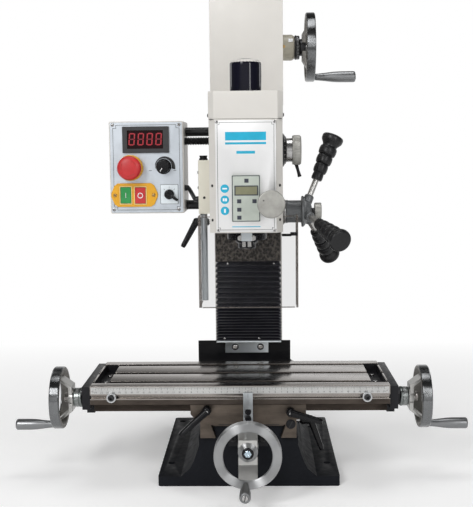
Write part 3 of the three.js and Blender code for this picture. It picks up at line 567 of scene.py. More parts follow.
def turned_metal(name, color, roughness, axis):
    """Lathe-turned metal: its highlight is drawn out across rings that run round an axis of its piece."""
    look = Look(name, roughness, 1.0, color, Anisotropic=1, Anisotropic_Rotation=0.25)
    around = look.nodes.new("ShaderNodeTangent")
    around.direction_type = "RADIAL"
    around.axis = axis
    look.links.new(around.outputs["Tangent"], look.shader.inputs["Tangent"])
    look.cloud(color, 30, 5, 0.9, 1.06, 0.3, 0.72)
    return look.roughness(look.noise(8, detail=4), roughness - 0.03, roughness + 0.05).material


def threaded(name, color, roughness, axis, pitch, depth):
    """Metal with a thread's lines at a pitch along an axis."""
    look = Look(name, roughness, 1.0, color)
    wave = look.nodes.new("ShaderNodeTexWave")
    wave.bands_direction = axis
    wave.inputs["Scale"].default_value = TURN / (20 * pitch * MM)
    look.links.new(look.place, wave.inputs["Vector"])
    look.cloud(color, 20, 5, 0.8, 1.1)
    look.roughness(look.noise(4), roughness - 0.06, roughness + 0.1)
    return look.bump(wave.outputs["Fac"], depth).material


EVEN = (1, 1, 1)
CREAM = paint("cream enamel", (0.62, 0.60, 0.565))
IVORY = paint("ivory enamel", (0.68, 0.655, 0.56), 0.45)
BEIGE = paint("beige enamel", (0.47, 0.44, 0.355), 0.45)
CHARCOAL = chipped_paint("charcoal enamel", (0.0085, 0.0093, 0.0118))
IRON = machined_iron("machined iron", (0.108, 0.088, 0.072))
DARK_IRON = machined_iron("dark machined iron", (0.062, 0.050, 0.042))
TABLE_STEEL = metal("ground table steel", (0.31, 0.285, 0.265), 0.23, (0.1, 1, 1), 1.6, 0.0008, 0.03)
BRIGHT_STEEL = metal("polished steel", (0.72, 0.71, 0.69), 0.2, EVEN, 6.0, 0.002, 0.04)
STEEL = metal("bright steel", (0.46, 0.455, 0.45), 0.24, EVEN, 6.0, 0.002, 0.04)
BLUED_CHROME = metal("blue chrome nut", (0.50, 0.60, 0.68), 0.12, EVEN, 6.0, 0.001, 0.03)
BRUSHED_BAR = metal("brushed spoke", (0.50, 0.495, 0.48), 0.34, (0.1, 1, 1), 0.8, 0.001, 0.03)
DIAL_STEEL = metal("satin dial", (0.20, 0.215, 0.21), 0.32, EVEN, 1.0, 0.005)
ALUMINIUM = metal("satin aluminium", (0.52, 0.53, 0.54), 0.36, (0.2, 1, 0.2), 0.8, 0.01)
GRIP_METAL = metal("satin grip metal", (0.24, 0.245, 0.25), 0.36, (0.6, 1, 1), 1.2, 0.002, 0.05)
PLATE = metal("brushed plate", (0.76, 0.76, 0.76), 0.40, (1, 1, 0.04), 0.5, 0.003, 0.04, 0.03)
PANEL = metal("grained panel", (0.57, 0.61, 0.655), 0.36, EVEN, 1.0, 0.008, 0.08)
ZINC = metal("zinc plate", (0.46, 0.485, 0.505), 0.38, EVEN, 2.0, 0.006)
# A lighter copy of the zinc plate: painted light.
ZINC_PAINTED_LIGHTER = metal("zinc plate painted lighter", (0.70, 0.75, 0.78), 0.42, EVEN, 2.0, 0.006)
DARK_STEEL = metal("dark steel", (0.055, 0.055, 0.057), 0.36, EVEN, 2.0, 0.01)
BLACKENED = metal("blackened steel", (0.022, 0.022, 0.024), 0.26, EVEN, 2.0, 0.004)
BRONZE = metal("bronze", (0.50, 0.33, 0.13), 0.35)
SCALE_WHITE = metal("scale strip", (0.54, 0.54, 0.53), 0.34, (0.05, 1, 1), 0.8, 0.006)
TURNED_BAND_X = turned_metal("steel turned about x", (0.20, 0.205, 0.21), 0.25, "X")
TURNED_FACE_Y = turned_metal("steel turned about y", (0.40, 0.405, 0.41), 0.38, "Y")
THREAD_X = threaded("thread along x", (0.42, 0.40, 0.38), 0.3, "X", 2.5, 0.6)
THREAD_Z = threaded("thread along z", (0.42, 0.40, 0.38), 0.3, "Z", 2.5, 0.6)
WHEEL_CAST = cast_metal("matt wheel casting", (0.24, 0.23, 0.215), 0.45, 0.8, 1.5, 0.08)
HUB_GREY = cast_metal("grey hub", (0.150, 0.157, 0.162), 0.40, 0.4, 1.4, 0.03)
KNOB_GREY = cast_metal("grained grey knob", (0.36, 0.355, 0.33), 0.45, 0.6, 1.0, 0.06)
BLACK_CAST = cast_metal("black casting", (0.009, 0.009, 0.011), 0.42, 0.0, 1.6, 0.05, 0.22)
# Hollow, middle and ridge colours of the hammered casting: painted shade, its own colour, painted highlight.
WRINKLES = (0.010, 0.009, 0.008), (0.045, 0.040, 0.035), (0.12, 0.105, 0.09)
WRINKLED = wrinkled_casting("hammered casting", *WRINKLES)
BLACK_PLASTIC = plastic("black plastic", (0.005, 0.005, 0.006), 0.22, shine=0.24)
BLACK_TUBE = plastic("black tube", (0.006, 0.006, 0.007), 0.28, 3.0, 0.01, 0.35)
BLACK_RUBBER = plastic("black rubber", (0.008, 0.008, 0.009), 0.36, 0.6, 0.02, 0.35)
FLAP_RUBBER = plastic("flap rubber", (0.004, 0.004, 0.005), 0.34, 9.0, 0.3, 0.25)
NAVY = plastic("glossy navy plastic", (0.003, 0.003, 0.010), 0.06, 8.0, 0.003, 0.24)
CAP_TOP = plastic("satin cap top", (0.20, 0.20, 0.21), 0.45)
READ_OUT = plastic("read-out housing", (0.44, 0.48, 0.43))
LCD = plastic("liquid crystal window", (0.20, 0.20, 0.12), 0.18)
RED = plastic("red plastic", (0.47, 0.016, 0.018), 0.42)
GREEN = plastic("green plastic", (0.015, 0.25, 0.055), 0.34)
YELLOW = plastic("yellow plastic", (0.66, 0.33, 0.008), 0.34)
SMOKED = plastic("smoked window", (0.014, 0.003, 0.004), 0.12, shine=0.12)
BEZEL = plastic("grey bezel", (0.020, 0.020, 0.022))
AMBER_RIM = plastic("amber rim", (0.74, 0.54, 0.22), 0.16)
# Darker red for the pressed arrows: painted shade in their grooves.
PRESSED_RED_SHADE = plastic("pressed red line painted shade", (0.40, 0.02, 0.016))
WHITE = plastic("white print", (0.80, 0.80, 0.80), 0.45)
# Dark print and joint lines, and painted shade in screw slots, slits, holes and dimples.
DARK_MARK_AND_HOLE_SHADE = plastic("dark print, joints and painted hole shade", (0.010, 0.010, 0.010), 0.6)
TEAL = plastic("teal print", (0.0, 0.36, 0.55))
KEY_GREY = plastic("dark key", (0.03, 0.035, 0.05), 0.35)
# Lighter plastic for the fold ridges: a painted highlight.
BELLOWS_RIDGE_HIGHLIGHT = plastic("bellows ridge highlight", (0.05, 0.05, 0.055))
BELLOWS = bellows_fabric("bellows fabric", (0.004, 0.004, 0.006), (0.010, 0.010, 0.015))
CLEAR = clear_sheet("clear polycarbonate", (0.014, 0.014, 0.016), 0.11)
# Brownish, nearly opaque bars for the sheet's edges: its edge reflection painted in.
CLEAR_EDGE_REFLECTION = clear_sheet("polycarbonate edge painted reflection", (0.17, 0.15, 0.135), 0.68, 0.2)
GLOW_RED = glowing("lit red segment", (0.36, 0.010, 0.022), 0.10)
# The unlit segments glow faintly: a painted glow.
UNLIT_RED_WITH_GLOW = glowing("unlit segment with painted glow", (0.16, 0.008, 0.018), 0.06)

SPINDLE = (0, -130, 0)
HEAD_FEED = (105, 763)  # Y and Z of the column handwheel's axis
SADDLE_FEED_Z = 90
BELLOWS_FOLDS = ((11, 5.45), (9, 9.9))  # how many folds and their pitch, from the bottom up
FOLD = ((0, 0.9), (0.10, 0.1), (0.2, 0), (0.34, 0.5), (0.62, 2.6), (0.9, 4.0))  # share of the pitch, inset
FLAP_LINE = ((45, 207), (45, 186), (44.6, 165), (37, 145), (20, 134), (0, 130.5), (-24.5, 130))
FLAP_HALF_THICKNESS = 1.3


# ---------- base, column, ways ----------
def make_base():
    recast("base_casting", CHARCOAL, 1.6)
    back = span["base_casting"].y1
    for side, way, _ in SIDES:
        for y in (back - 60, back - 25):
            pad = block((-8, 8), (-5, 5), (0, 1.1)).moved((way * 118, y, 17))
            piece(f"base_pad_{side}_{int(y)}", pad, BLACK_CAST, "root", bevel=0.5)


def make_column():
    recast("column", CREAM, 1.4)
    back = span["column"].y1 - 1.4  # the rear cover is sunk into the casting by its thickness
    cover = rounded_rectangle(-46, 46, 200, 800, 5)
    panel("column_rear_cover", cover, back - 0.5, back + 1.2, CREAM, "root", bevel=0.4)
    for x, mark in ((-38, "m38"), (38, "38")):
        for z in (210, 500, 790):
            cross_screw(f"rear_screw_{mark}_{z}", (x, back - 0.2, z), "y", 2.6, STEEL, "root")
    y, z = HEAD_FEED
    ring = [(24.05, 0), (24.4, 0.2), (24.4, 1.2), (24.05, 1.4)]
    turned("bearing_housing_line", ring, 0, "x", (81, y, z), 48, BEIGE, "root")
    sleeve = [(24.1, 64), (24.25, 64), (24.25, 85.8), (21.2, 90.4), (8.6, 90.4)]
    turned("bearing_housing_skin", sleeve, 0.8, "x", (0, y, z), 64, BEIGE, "root", slot="cream_paint")
    mark = block((79, 87.6), (y - 3.5, y + 3.5), (z + 24.2, z + 24.45)).turned("x", 62, (0, y, z))
    piece("dial_zero_mark", mark, ALUMINIUM, "root")
    turned("bearing_oiler", pin(3, 0, 0.8), 0.3, "-y", (70, y - 24.1, z), 48, BRONZE, "root")


def make_foot_bolts():
    for x, mark in ((-78, "m78"), (78, "78")):
        for y in (67, 157):
            socket_screw(f"foot_bolt_{mark}_{y}", (x, y, 137.4), "z", 7.5, DARK_STEEL, "root", 6)


def bellows_ring(box, inset):
    """A U-shaped section of the bellows, drawn in by an inset."""
    corner = 2.5
    outer, face = box.x1 - inset, box.y0 + inset
    left = [(-outer, box.y1)]
    for step in range(4):
        angle = TURN / 12 * step
        left.append((-outer + corner * (1 - math.cos(angle)), face + corner * (1 - math.sin(angle))))
    right = [(-x, y) for x, y in reversed(left)]
    outside = left + [(-outer / 2, face), (0, face), (outer / 2, face)] + right
    return outside + [(x * 0.90, y + 5.5 if y < box.y1 else y) for x, y in reversed(outside)]


def make_bellows():
    """A concertina round the ways: tight folds below, looser ones above, with lighter lines along its fold
    ridges that are a painted highlight.
    """
    box = span["bellows"]
    share = (box.z1 - box.z0) / sum(count * pitch for count, pitch in BELLOWS_FOLDS)
    levels = []
    z = box.z0
    for count, pitch in BELLOWS_FOLDS:
        for _ in range(count):
            levels += [(z + pitch * share * rise, inset) for rise, inset in FOLD]
            z += pitch * share
    levels.append((box.z1, 0.9))
    points, rings = [], []
    for z, inset in levels:
        start = len(points)
        points += [(x, y, z) for x, y in bellows_ring(box, inset)]
        rings.append(range(start, len(points)))
    faces = joined(rings)
    for step in range(len(rings[0]) // 2 - 1):
        for ring in (rings[0], rings[-1]):
            faces.append((ring[step], ring[step + 1], ring[-2 - step], ring[-1 - step]))
    folds = piece("bellows_folds", Shape(points, faces), BELLOWS, None, "bellows", angle=60)
    # Thin lighter tubes along the fold ridges: a painted highlight.
    edge = bellows_ring(box, 0)
    edge = edge[:len(edge) // 2]
    ridges = Shape()
    for z, inset in levels:
        if inset == 0:
            ridges += tube([(x, y, z + 0.25 * math.sin(0.23 * x + z)) for x, y in edge], 0.32, 6)
    ridges = piece("bellows_ridges", ridges, BELLOWS_RIDGE_HIGHLIGHT, None, angle=60)
    for part in (folds, ridges):
        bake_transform(part)
    low, high = box.z0 + 4.2, box.z1 - 3.5
    screws = ("low_left", -45.6, low, "root"), ("low_right", 19.4, low, "root")
    screws += ("high_left", -38.5, high, "head"), ("high_right", 48.0, high, "head")
    for name, x, z, body in screws:
        cross_screw(f"bellows_screw_{name}", (x, box.y0 + 1.1, z), "-y", 2.2, STEEL, body, 1)


def make_bracket():
    # The bracket is the lighter zinc: painted light on a part that lies in the head's shade.
    recast("bellows_bracket", ZINC_PAINTED_LIGHTER, 0.5)
    for name, x in (("left", -26.4), ("right", 22)):
        socket_screw(f"bracket_screw_{name}", (x, 40, 195.5), "-y", 4.2, BRIGHT_STEEL, "root", 4)
        turned(f"bracket_washer_{name}", pin(6.4, 0, 0.6), 0, "-y", (x, 40, 195.5), 48, DARK_STEEL, "root")


def make_flap():
    """A stiff rubber sheet that hangs from the bracket and lies on to the back of the saddle."""
    box = span["chip_flap"]
    line = smooth_path([(0, y, z) for y, z in FLAP_LINE], 7)
    length = sum((b - a).length for a, b in zip(line, line[1:]))
    across, rows = 44, len(line)
    points, faces = [], []
    for side in (1, -1):
        for index, spot in enumerate(line):
            way = line[min(index + 1, rows - 1)] - line[max(index - 1, 0)]
            normal = Vector((0, -way.z, way.y)).normalized()
            hang = (1 - index / (rows - 1)) ** 0.7
            for step in range(across + 1):
                u = step / across
                wave = 0.7 * math.sin(u * 9.5 + 0.6) + 0.5 * math.sin(u * 17 + index * 0.2)
                lift = wave * hang * min(1.0, 4 * u * (1 - u) + 0.2)
                shift = normal * (side * FLAP_HALF_THICKNESS + lift * 0.8)
                x = box.x0 + (box.x1 - box.x0) * u
                points.append((x, spot.y + shift.y, min(spot.z + shift.z, box.z1)))
    row = across + 1
    sheet = rows * row
    for index in range(rows - 1):
        for a in range(index * row, index * row + across):
            faces.append((a, a + 1, a + row + 1, a + row))
            faces.append((sheet + a, sheet + a + row, sheet + a + row + 1, sheet + a + 1))
    rim = list(range(row)) + [index * row + across for index in range(1, rows)]
    rim += [(rows - 1) * row + step for step in range(across - 1, -1, -1)]
    rim += [index * row for index in range(rows - 2, 0, -1)]
    faces += [(a, sheet + a, sheet + b, b) for a, b in zip(rim, rim[1:] + rim[:1])]
    flap = piece("rubber_flap", Shape(points, faces), FLAP_RUBBER, None, "chip_flap", angle=50)
    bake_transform(flap)


# ---------- handwheels ----------
# radius, the rim's inner and outer face, hub length, where the spokes fold
TABLE_WHEEL = (54, 17, 34, 9, 21)
SADDLE_WHEEL = (54, 28, 45, 24, 21)
COLUMN_WHEEL = (65, 11, 28, 12, 24)
HUB_RADIUS = 16.5
SPOKE_HALF_WIDTH = 15.5
# shares of the radius and of the length
GRIP_PROFILE = (
    (0, 0), (0.60, 0), (0.62, 0.08), (0.74, 0.24), (0.93, 0.45), (0.985, 0.6),
    (1, 0.95), (0.86, 0.985), (0.62, 0.985), (0.6, 0.97), (0, 0.97),
)
DIAL_PROFILE = ((0.93, 0), (1, 0.12), (1, 0.30), (0.965, 0.36), (0.965, 0.94), (0.9, 1))


def wheel_shape(radius, rim_in, rim_out, hub_end, fold):
    """A handwheel's parts round local Z, which points away from the machine; 0 is the hub's inner face."""
    inner = radius - 15
    profiles = {
        "rim": (144, 0.7, [
            (radius - 1.6, rim_in + 0.2), (radius - 0.1, rim_in + 1.6), (radius, rim_out - 1.6),
            (radius - 1.4, rim_out),
        ]),
        "face": (144, 0.6, [
            (radius - 1.4, rim_out), (radius - 7.5, rim_out - 0.1), (inner + 1.6, rim_out - 0.9),
            (inner + 0.2, rim_out - 2.2), (inner + 0.1, rim_out - 3),
        ]),
        "dish": (144, 1.0, [
            (inner + 0.1, rim_out - 3), (inner + 7, rim_in + 1.2), (inner + 8, rim_in),
            (radius - 1.6, rim_in + 0.2),
        ]),
        "hub": (72, 0.8, [
            (7.5, 0), (HUB_RADIUS - 1.5, 0), (HUB_RADIUS - 0.5, 1), (HUB_RADIUS - 0.5, hub_end - 7),
            (HUB_RADIUS - 0.5, hub_end - 0.4), (HUB_RADIUS - 3, hub_end), (HUB_RADIUS - 7, hub_end),
            (7.5, hub_end),
        ]),
    }
    shapes = {
        name: lathe(rounded(profile, soft), segments=segments)
        for name, (segments, soft, profile) in profiles.items()
    }
    spokes = Shape()
    for side in (-1, 1):
        outline = [
            (7.6, hub_end - 7.6), (fold + 1, hub_end - 7.6), (inner + 1.5, rim_out - 6.6),
            (inner + 1.5, rim_out - 1.6), (fold - 1, hub_end - 1), (7.6, hub_end - 1),
        ]
        outline = [(side * x, z) for x, z in outline]
        spokes += prism(outline, -SPOKE_HALF_WIDTH, SPOKE_HALF_WIDTH, "y")
    return {**shapes, "spokes": spokes}


def place_wheel(name, node, axis, hub, sizes, looks, body):
    """A wheel in five pieces, with the looks of its rim, face, dish, hub and spokes in that order."""
    for (part, shape), look in zip(wheel_shape(*sizes).items(), looks):
        shape = shape.turned("z", 90).along(axis, hub)
        replaces = node if part == "rim" else None
        bevel = 0.8 if part == "spokes" else 0.0
        piece(f"{name}_{part}", shape, look, body, replaces, bevel, slot=slot_of_node[node])


def place_grip(name, node, axis, at, length, radius):
    """A turned revolving handle with a slotted stud in its end."""
    profile = [(radius * across, length * along) for across, along in GRIP_PROFILE]
    turned(name, profile, 4, axis, at, 48, GRIP_METAL, node, node)
    end = Vector(at) + AXES[axis] @ Vector((0, 0, length - 2.7))
    stud = [(0, 0), (radius * 0.55, 0), (radius * 0.55, 2), (0, 2.6)]
    turned(f"{name}_stud", stud, 0.6, axis, end, 48, STEEL, node)
    # The slit in the stud is a dark bar: painted shade.
    slit = block((-radius * 0.5, radius * 0.5), (-0.7, 0.7), (1.2, 2.69)).turned("z", 80)
    piece(f"{name}_slit", slit.along(axis, end), DARK_MARK_AND_HOLE_SHADE, node)


def place_dial(name, node, axis, at, length, radius, bore, look, marks):
    """A graduated collar: a turned ring with white lines and a raised edge."""
    profile = [(radius * across, length * along) for across, along in DIAL_PROFILE]
    profile = [(bore, 0), *profile, (bore, length), (bore, 0)]
    turned(name, profile, 0.5, axis, at, 72, look, node, node)
    lines = Shape()
    for mark in range(marks):
        low = length * 0.4
        high = low + length * (0.36 if mark % 5 else 0.5)
        tick = block((radius * 0.96, radius * 0.972), (-0.14, 0.14), (low, high))
        lines += tick.turned("z", 360 * mark / marks)
    piece(f"{name}_marks", lines.along(axis, at), WHITE, node)


def place_feed(letter, suffix, axis, hub, sizes, looks, body, dial):
    """A handwheel with its dial and revolving grip. The hub is the middle of the wheel's inner face."""
    place_wheel(f"{letter}_wheel{suffix}", f"{letter}_handwheel{suffix}", axis, hub, sizes, looks, body)

    def start_on(node, line):
        box = span[node]
        if axis == "-y":
            return (line[0], box.y1, line[2]), box.y1 - box.y0
        return (box.x1 if axis == "-x" else box.x0, line[1], line[2]), box.x1 - box.x0

    node = f"{letter}_dial{suffix}"
    place_dial(f"{letter}_collar{suffix}", node, axis, *start_on(node, hub), *dial)
    node = f"{letter}_grip{suffix}"
    grip = span[node]
    radius = grip.x1 - grip.cx if axis == "-y" else grip.z1 - grip.cz
    centre = (grip.cx, grip.cy, grip.cz)
    place_grip(f"{letter}_handle{suffix}", node, axis, *start_on(node, centre), radius)


def make_table_wheels():
    for side, _, axis in SIDES:
        wheel = span[f"x_handwheel_{side}"]
        hub = (wheel.x1 if axis == "-x" else wheel.x0, wheel.cy, wheel.cz)
        looks = (TURNED_BAND_X, TURNED_BAND_X, WHEEL_CAST, BRUSHED_BAR, BRUSHED_BAR)
        place_feed("x", f"_{side}", axis, hub, TABLE_WHEEL, looks, "x_screw", (17, 7.4, DIAL_STEEL, 40))
        nut = [(7.2, 9.5), (8.4, 9.5), (8.4, 15.6), (6.4, 16.8), (0, 16.8)]
        turned(f"x_nut_{side}", nut, 0.6, axis, hub, 6, DARK_STEEL, "x_screw")


def make_saddle_wheel():
    hub = (span["y_handwheel"].cx, span["y_handwheel"].y1, SADDLE_FEED_Z)
    looks = (TURNED_FACE_Y, TURNED_FACE_Y, WHEEL_CAST, TURNED_FACE_Y, BRUSHED_BAR)
    place_feed("y", "", "-y", hub, SADDLE_WHEEL, looks, "y_screw", (17, 7.4, DIAL_STEEL, 40))
    cone = [(7.5, 17.5), (15.3, 23.2), (15.3, 23.4), (12, 25.6), (9.6, 29), (7.5, 29.4)]
    turned("y_hub_cone", cone, 0.5, "-y", hub, 96, TURNED_FACE_Y, "y_screw")
    ring = [(5.9, 28.6), (9.6, 28.6), (9.6, 30.4), (8.4, 31.2), (5.9, 31.2)]
    turned("y_hub_ring", ring, 0.6, "-y", hub, 48, BLACK_PLASTIC, "y_screw")
    nut = [(0, 24), (6.6, 24), (6.6, 31.6), (5.2, 32.6), (3.4, 32.6), (2.6, 31.9), (0, 31.9)]
    turned("y_hub_nut", nut, 0.4, "-y", hub, 6, BLUED_CHROME, "y_screw")


def make_column_wheel():
    hub = (101, *HEAD_FEED)
    # The hub is dark steel and the spokes matt casting, darker than on the table's wheels: painted shade, as
    # they lie in shade by the dial.
    looks = (TURNED_BAND_X, TURNED_BAND_X, WHEEL_CAST, DARK_STEEL, WHEEL_CAST)
    place_feed("z", "", "x", hub, COLUMN_WHEEL, looks, "z_wheel", (23, 8.4, DARK_STEEL, 50))
    turned("z_wheel_shaft", pin(8, -17, 3), 0, "x", hub, 48, STEEL, "z_wheel")
    nut = [(0, 11.8), (8.2, 11.8), (8.2, 17.6), (6.5, 18.9), (0, 18.9)]
    turned("z_hub_nut", nut, 0.6, "x", hub, 6, STEEL, "z_wheel")


# ---------- saddle and table ----------
def make_saddle():
    recast("saddle", IRON, 0.7)
    recast("saddle_pointer", ZINC, 0.5)
    front = span["saddle"].y0
    pointer = span["saddle_pointer"]
    bar("pointer_foot", (-8, 8), (front - 7, front - 0.1), (116.5, 124.3), ZINC, "saddle", 0.5)
    for z in (123.8, 135.4):
        socket_screw(f"pointer_screw_{int(z)}", (0, front - 7, z), "-y", 5.2, BLACK_CAST, "saddle", 4.6)
    depth = (pointer.y0 - 0.1, pointer.y0 + 0.02)
    bar("pointer_line", (-0.25, 0.25), depth, (pointer.z1 - 8, pointer.z1 - 1), DARK_MARK_AND_HOLE_SHADE, "saddle")
    at = (71.4, front, 111.5)
    gib = [(0, 0), (8.2, 0), (8.2, 1.2), (7.2, 2.2), (0, 2.2)]
    turned("gib_screw", gib, 0.5, "-y", at, 40, BLACK_CAST, "saddle")
    # The gib screw's slot is a dark bar: painted shade.
    slit = block((-7, 7), (-0.9, 0.9), (1.4, 2.3)).turned("z", 62).along("-y", at)
    piece("gib_screw_slot", slit, DARK_MARK_AND_HOLE_SHADE, "saddle")
    base_front = span["base_casting"].y0
    way = [(-59.5, 105.6), (59.5, 105.6), (61.6, 108.9), (-61.6, 108.9)]
    panel("way_front_edge", way, base_front - 0.5, base_front + 0.1, IRON, "root", bevel=0.1)
    bar("saddle_gap_line", (-50, 52), (front - 0.06, front + 0.4), (110.2, 111.3), DARK_MARK_AND_HOLE_SHADE, "saddle")
    for mark, way, axis in (("m1", -1, "-x"), ("1", 1, "x")):
        for y in (-150, -60):
            name, at = f"gib_plug_{mark}_m{-y}", (way * 81, y, 104)
            turned(name, pin(4.2, 0, 1), 0.3, axis, at, 48, DARK_STEEL, "saddle")


def lever(name, node, body, foot, top, tip):
    """A black clamping lever: a domed serrated hub on a steel stud, and a flat arm that tapers and swells."""
    foot, top, tip = Vector(foot), Vector(top), Vector(tip)
    length = (top - foot).length
    stud = lathe(pin(4.4, 0, length * 0.55), segments=40)
    piece(f"{name}_stud", stud.from_to(foot, top), STEEL, body)
    profile = [
        (0, length * 0.30), (6.0, length * 0.30), (7.4, length * 0.45), (7.4, length + 3),
        (6.2, length + 6), (3.6, length + 7.2), (0, length + 7.2),
    ]
    hub = lathe(rounded(profile, 1.6), segments=40)
    tooth = block((7.1, 7.9), (-0.55, 0.55), (length * 0.42, length * 0.42 + 5))
    for index in range(16):
        hub += tooth.turned("z", 22.5 * index)
    piece(f"{name}_hub", hub.from_to(foot, top), BLACK_PLASTIC, body, node)
    start = top + (top - foot).normalized() * 2
    steps = 14
    path, sections = [], []
    for index in range(steps + 1):
        t = index / steps
        wide = 7.2 - 2.4 * math.sin(min(1.0, t * 1.1) * math.pi / 1.6) + 1.3 * t
        thick = 6.0 - 1.6 * t
        if index == steps:
            wide, thick = wide * 0.82, thick * 0.8
        ring = [(math.copysign(abs(c) ** 0.7, c) * wide, math.copysign(abs(s) ** 0.7, s) * thick)
                for c, s in circle((0, 0), 1, 20)]
        path.append(start.lerp(tip, t))
        sections.append(ring)
    piece(f"{name}_arm", sweep(path, sections), BLACK_PLASTIC, body, angle=50)
    screw = lathe(pin(2.6, length + 6.9, length + 8.4), segments=40)
    piece(f"{name}_screw", screw.from_to(foot, top), STEEL, body)


def make_levers():
    face = span["saddle"].y0 - 0.4
    out = face - 12
    left, right = ((-69, face, 138), (-69, out, 138)), ((71, face, 135), (71, out, 135))
    lever("lock_left", "x_lock_lever_left", "x_lock_left", *left, (-113, out - 11, 100))
    lever("lock_right", "x_lock_lever_right", "x_lock_right", *right, (123, out - 11, 122))
    lever("lock_side", "y_lock_lever", "y_lock", (81.4, -130, 103), (106, -130, 103), (127, -130, 50))
    lever("lock_head", "head_lock_lever", "head_lock", (-60.4, -30, 441), (-91, -30, 441), (-118, -34, 396))


DIGITS = {
    "0": "abcdef", "1": "bc", "2": "abged", "3": "abgcd", "4": "fgbc",
    "5": "afgcd", "6": "afgedc", "7": "abc", "8": "abcdefg", "9": "abcdfg",
}


def figures(text, x, y, z, width, height, stroke, depth, lean=0.0, dark=False):
    """Seven-segment figures at x, z on a face that looks along -Y: their lit bars, or the dark ones."""
    half = height / 2
    low, high = (stroke / 2, half - stroke / 3), (half + stroke / 3, height - stroke / 2)
    left, right, middle = (0, stroke), (width - stroke, width), (stroke, width - stroke)
    bars = {
        "a": (middle, (height - stroke, height)),
        "b": (right, high),
        "c": (right, low),
        "d": (middle, (0, stroke)),
        "e": (left, low),
        "f": (left, high),
        "g": (middle, (half - stroke / 2, half + stroke / 2)),
    }
    made = Shape()
    for index, which in enumerate(text):
        for key, (xs, zs) in bars.items():
            if (key in DIGITS[which]) != dark:
                made += block(xs, (-depth, 0), zs).moved((index * width * 1.45, 0, 0))
    leant = [(x + point.x + point.z * lean, point.y + y, point.z + z) for point in made.points]
    return Shape(leant, made.faces)


TROUGH_FLOOR = 166
TROUGH_REACH = 68.6
TROUGH_LENGTH = 25


def make_troughs(table, middle):
    """Black linings in the two coolant troughs at the table's ends."""
    ys = (middle - TROUGH_REACH, middle + TROUGH_REACH)
    for name, x0 in (("left", table.x0 + 3), ("right", table.x1 - 3 - TROUGH_LENGTH)):
        x1 = x0 + TROUGH_LENGTH
        floor = (ys[0] + 0.2, ys[1] - 0.2), (TROUGH_FLOOR, TROUGH_FLOOR + 0.6)
        bar(f"trough_floor_{name}", (x0 + 0.1, x1 - 0.1), *floor, BLACK_CAST, "table")
        for end, y in (("front", ys[0]), ("rear", ys[1] - 0.5)):
            wall = (y, y + 0.5), (TROUGH_FLOOR, 179.2)
            bar(f"trough_wall_{name}_{end}", (x0 + 0.05, x1 - 0.05), *wall, BLACK_CAST, "table")
        outer = x0 + 0.3 if name == "left" else x1 - 0.3
        bar(f"trough_end_{name}", (outer - 0.25, outer + 0.25), ys, (TROUGH_FLOOR, 179), BLACK_CAST, "table")
        for index, y in enumerate((middle - 18, middle + 30)):
            at = (x0 + TROUGH_LENGTH / 2, y, TROUGH_FLOOR + 0.5)
            socket_screw(f"trough_screw_{name}_{index}", at, "z", 4, STEEL, "table", 3)


def make_scale(table):
    """The graduated strip on the table's front, with a figure at each centimetre from its middle."""
    front = table.y0
    strip = (table.x0 + 1.5, table.x1 - 1.5), (front - 0.35, front + 0.2), (166.8, 178.2)
    bar("scale_strip", *strip, SCALE_WHITE, "table", 0.15)
    count = int((table.x1 - table.x0) / 2 // 10) - 1
    ticks, digits = Shape(), Shape()
    for mark in range(-count * 10, count * 10 + 1):
        tall = 4.6 if mark % 10 == 0 else 3.2 if mark % 5 == 0 else 1.7
        half = 0.22 if mark % 10 == 0 else 0.13
        ticks += block((-half, half), (-0.05, 0.02), (-tall, 0)).moved((table.cx + mark, front - 0.36, 177.9))
    for mark in range(-count, count + 1):
        text = str(abs(mark))
        x = table.cx + mark * 10 - len(text) * 0.95 - 0.2
        digits += figures(text, x, front - 0.34, 168.2, 1.5, 3.0, 0.42, 0.06)
    piece("scale_ticks", ticks, DARK_MARK_AND_HOLE_SHADE, "table")
    piece("scale_figures", digits, DARK_MARK_AND_HOLE_SHADE, "table")
    for name, x in (("left", table.x0 + 5), ("middle", 0), ("right", table.x1 - 5)):
        rivet = [(0, 0), (1.7, 0), (1.5, 0.5), (0, 0.7)]
        turned(f"scale_rivet_{name}", rivet, 0.3, "-y", (x, front - 0.33, 171), 20, STEEL, "table")


def make_table():
    table = span["table"]
    recast("table", TABLE_STEEL, 0.5)
    front, middle = table.y0, table.cy
    x0, x1 = table.x0 + 0.2, table.x1 - 0.2
    make_troughs(table, middle)
    make_scale(table)
    ys = (front - 0.12, front + 0.1)
    bar("table_front_low", (x0, x1), ys, (148.6, 157.0), DARK_IRON, "table")
    bar("table_front_lip", (x0, x1), ys, (157.0, 158.5), TABLE_STEEL, "table")
    low, high = middle - 55.1, middle - 47.4
    slope = [(low, 127.6), (high, 148.4), (high + 0.3, 148.4), (low + 0.3, 127.6)]
    piece("table_dovetail_front", prism(slope, x0, x1, "x"), DARK_IRON, "table")
    for side, way, axis in SIDES:
        recast(f"table_end_cap_{side}", BLACK_CAST, 1.6)
        cap = span[f"table_end_cap_{side}"]
        face = table.cx + way * (table.x1 - table.cx + 14)
        for index, y in enumerate((cap.y0 + 14, cap.y1 - 14)):
            socket_screw(f"cap_screw_{side}_{index}", (face, y, 166), axis, 5, DARK_STEEL, "table", 4)
        stop = f"table_stop_{side}"
        x, at = span[stop].cx, (span[stop].cx, front - 0.4, 161.6)
        ring = [(5.2, 0), (8, 0), (8, 6.6), (7.2, 6.6), (5.2, 6.6), (5.2, 0)]
        turned(f"stop_ring_{side}", ring, 0.5, "-y", at, 48, ALUMINIUM, stop, stop)
        tenon = (x - 7, x + 7), (front - 0.8, front + 6), (159.1, 164.1)
        bar(f"stop_tenon_{side}", *tenon, DARK_STEEL, stop, 0.4)
        socket_screw(f"stop_screw_{side}", at, "-y", 5.0, DARK_STEEL, stop, 9.6)


THREAD = ((0, 6.6), (0.25, 6.6), (1.05, 7.95), (1.45, 7.95))  # distance along a pitch of 2.5, radius


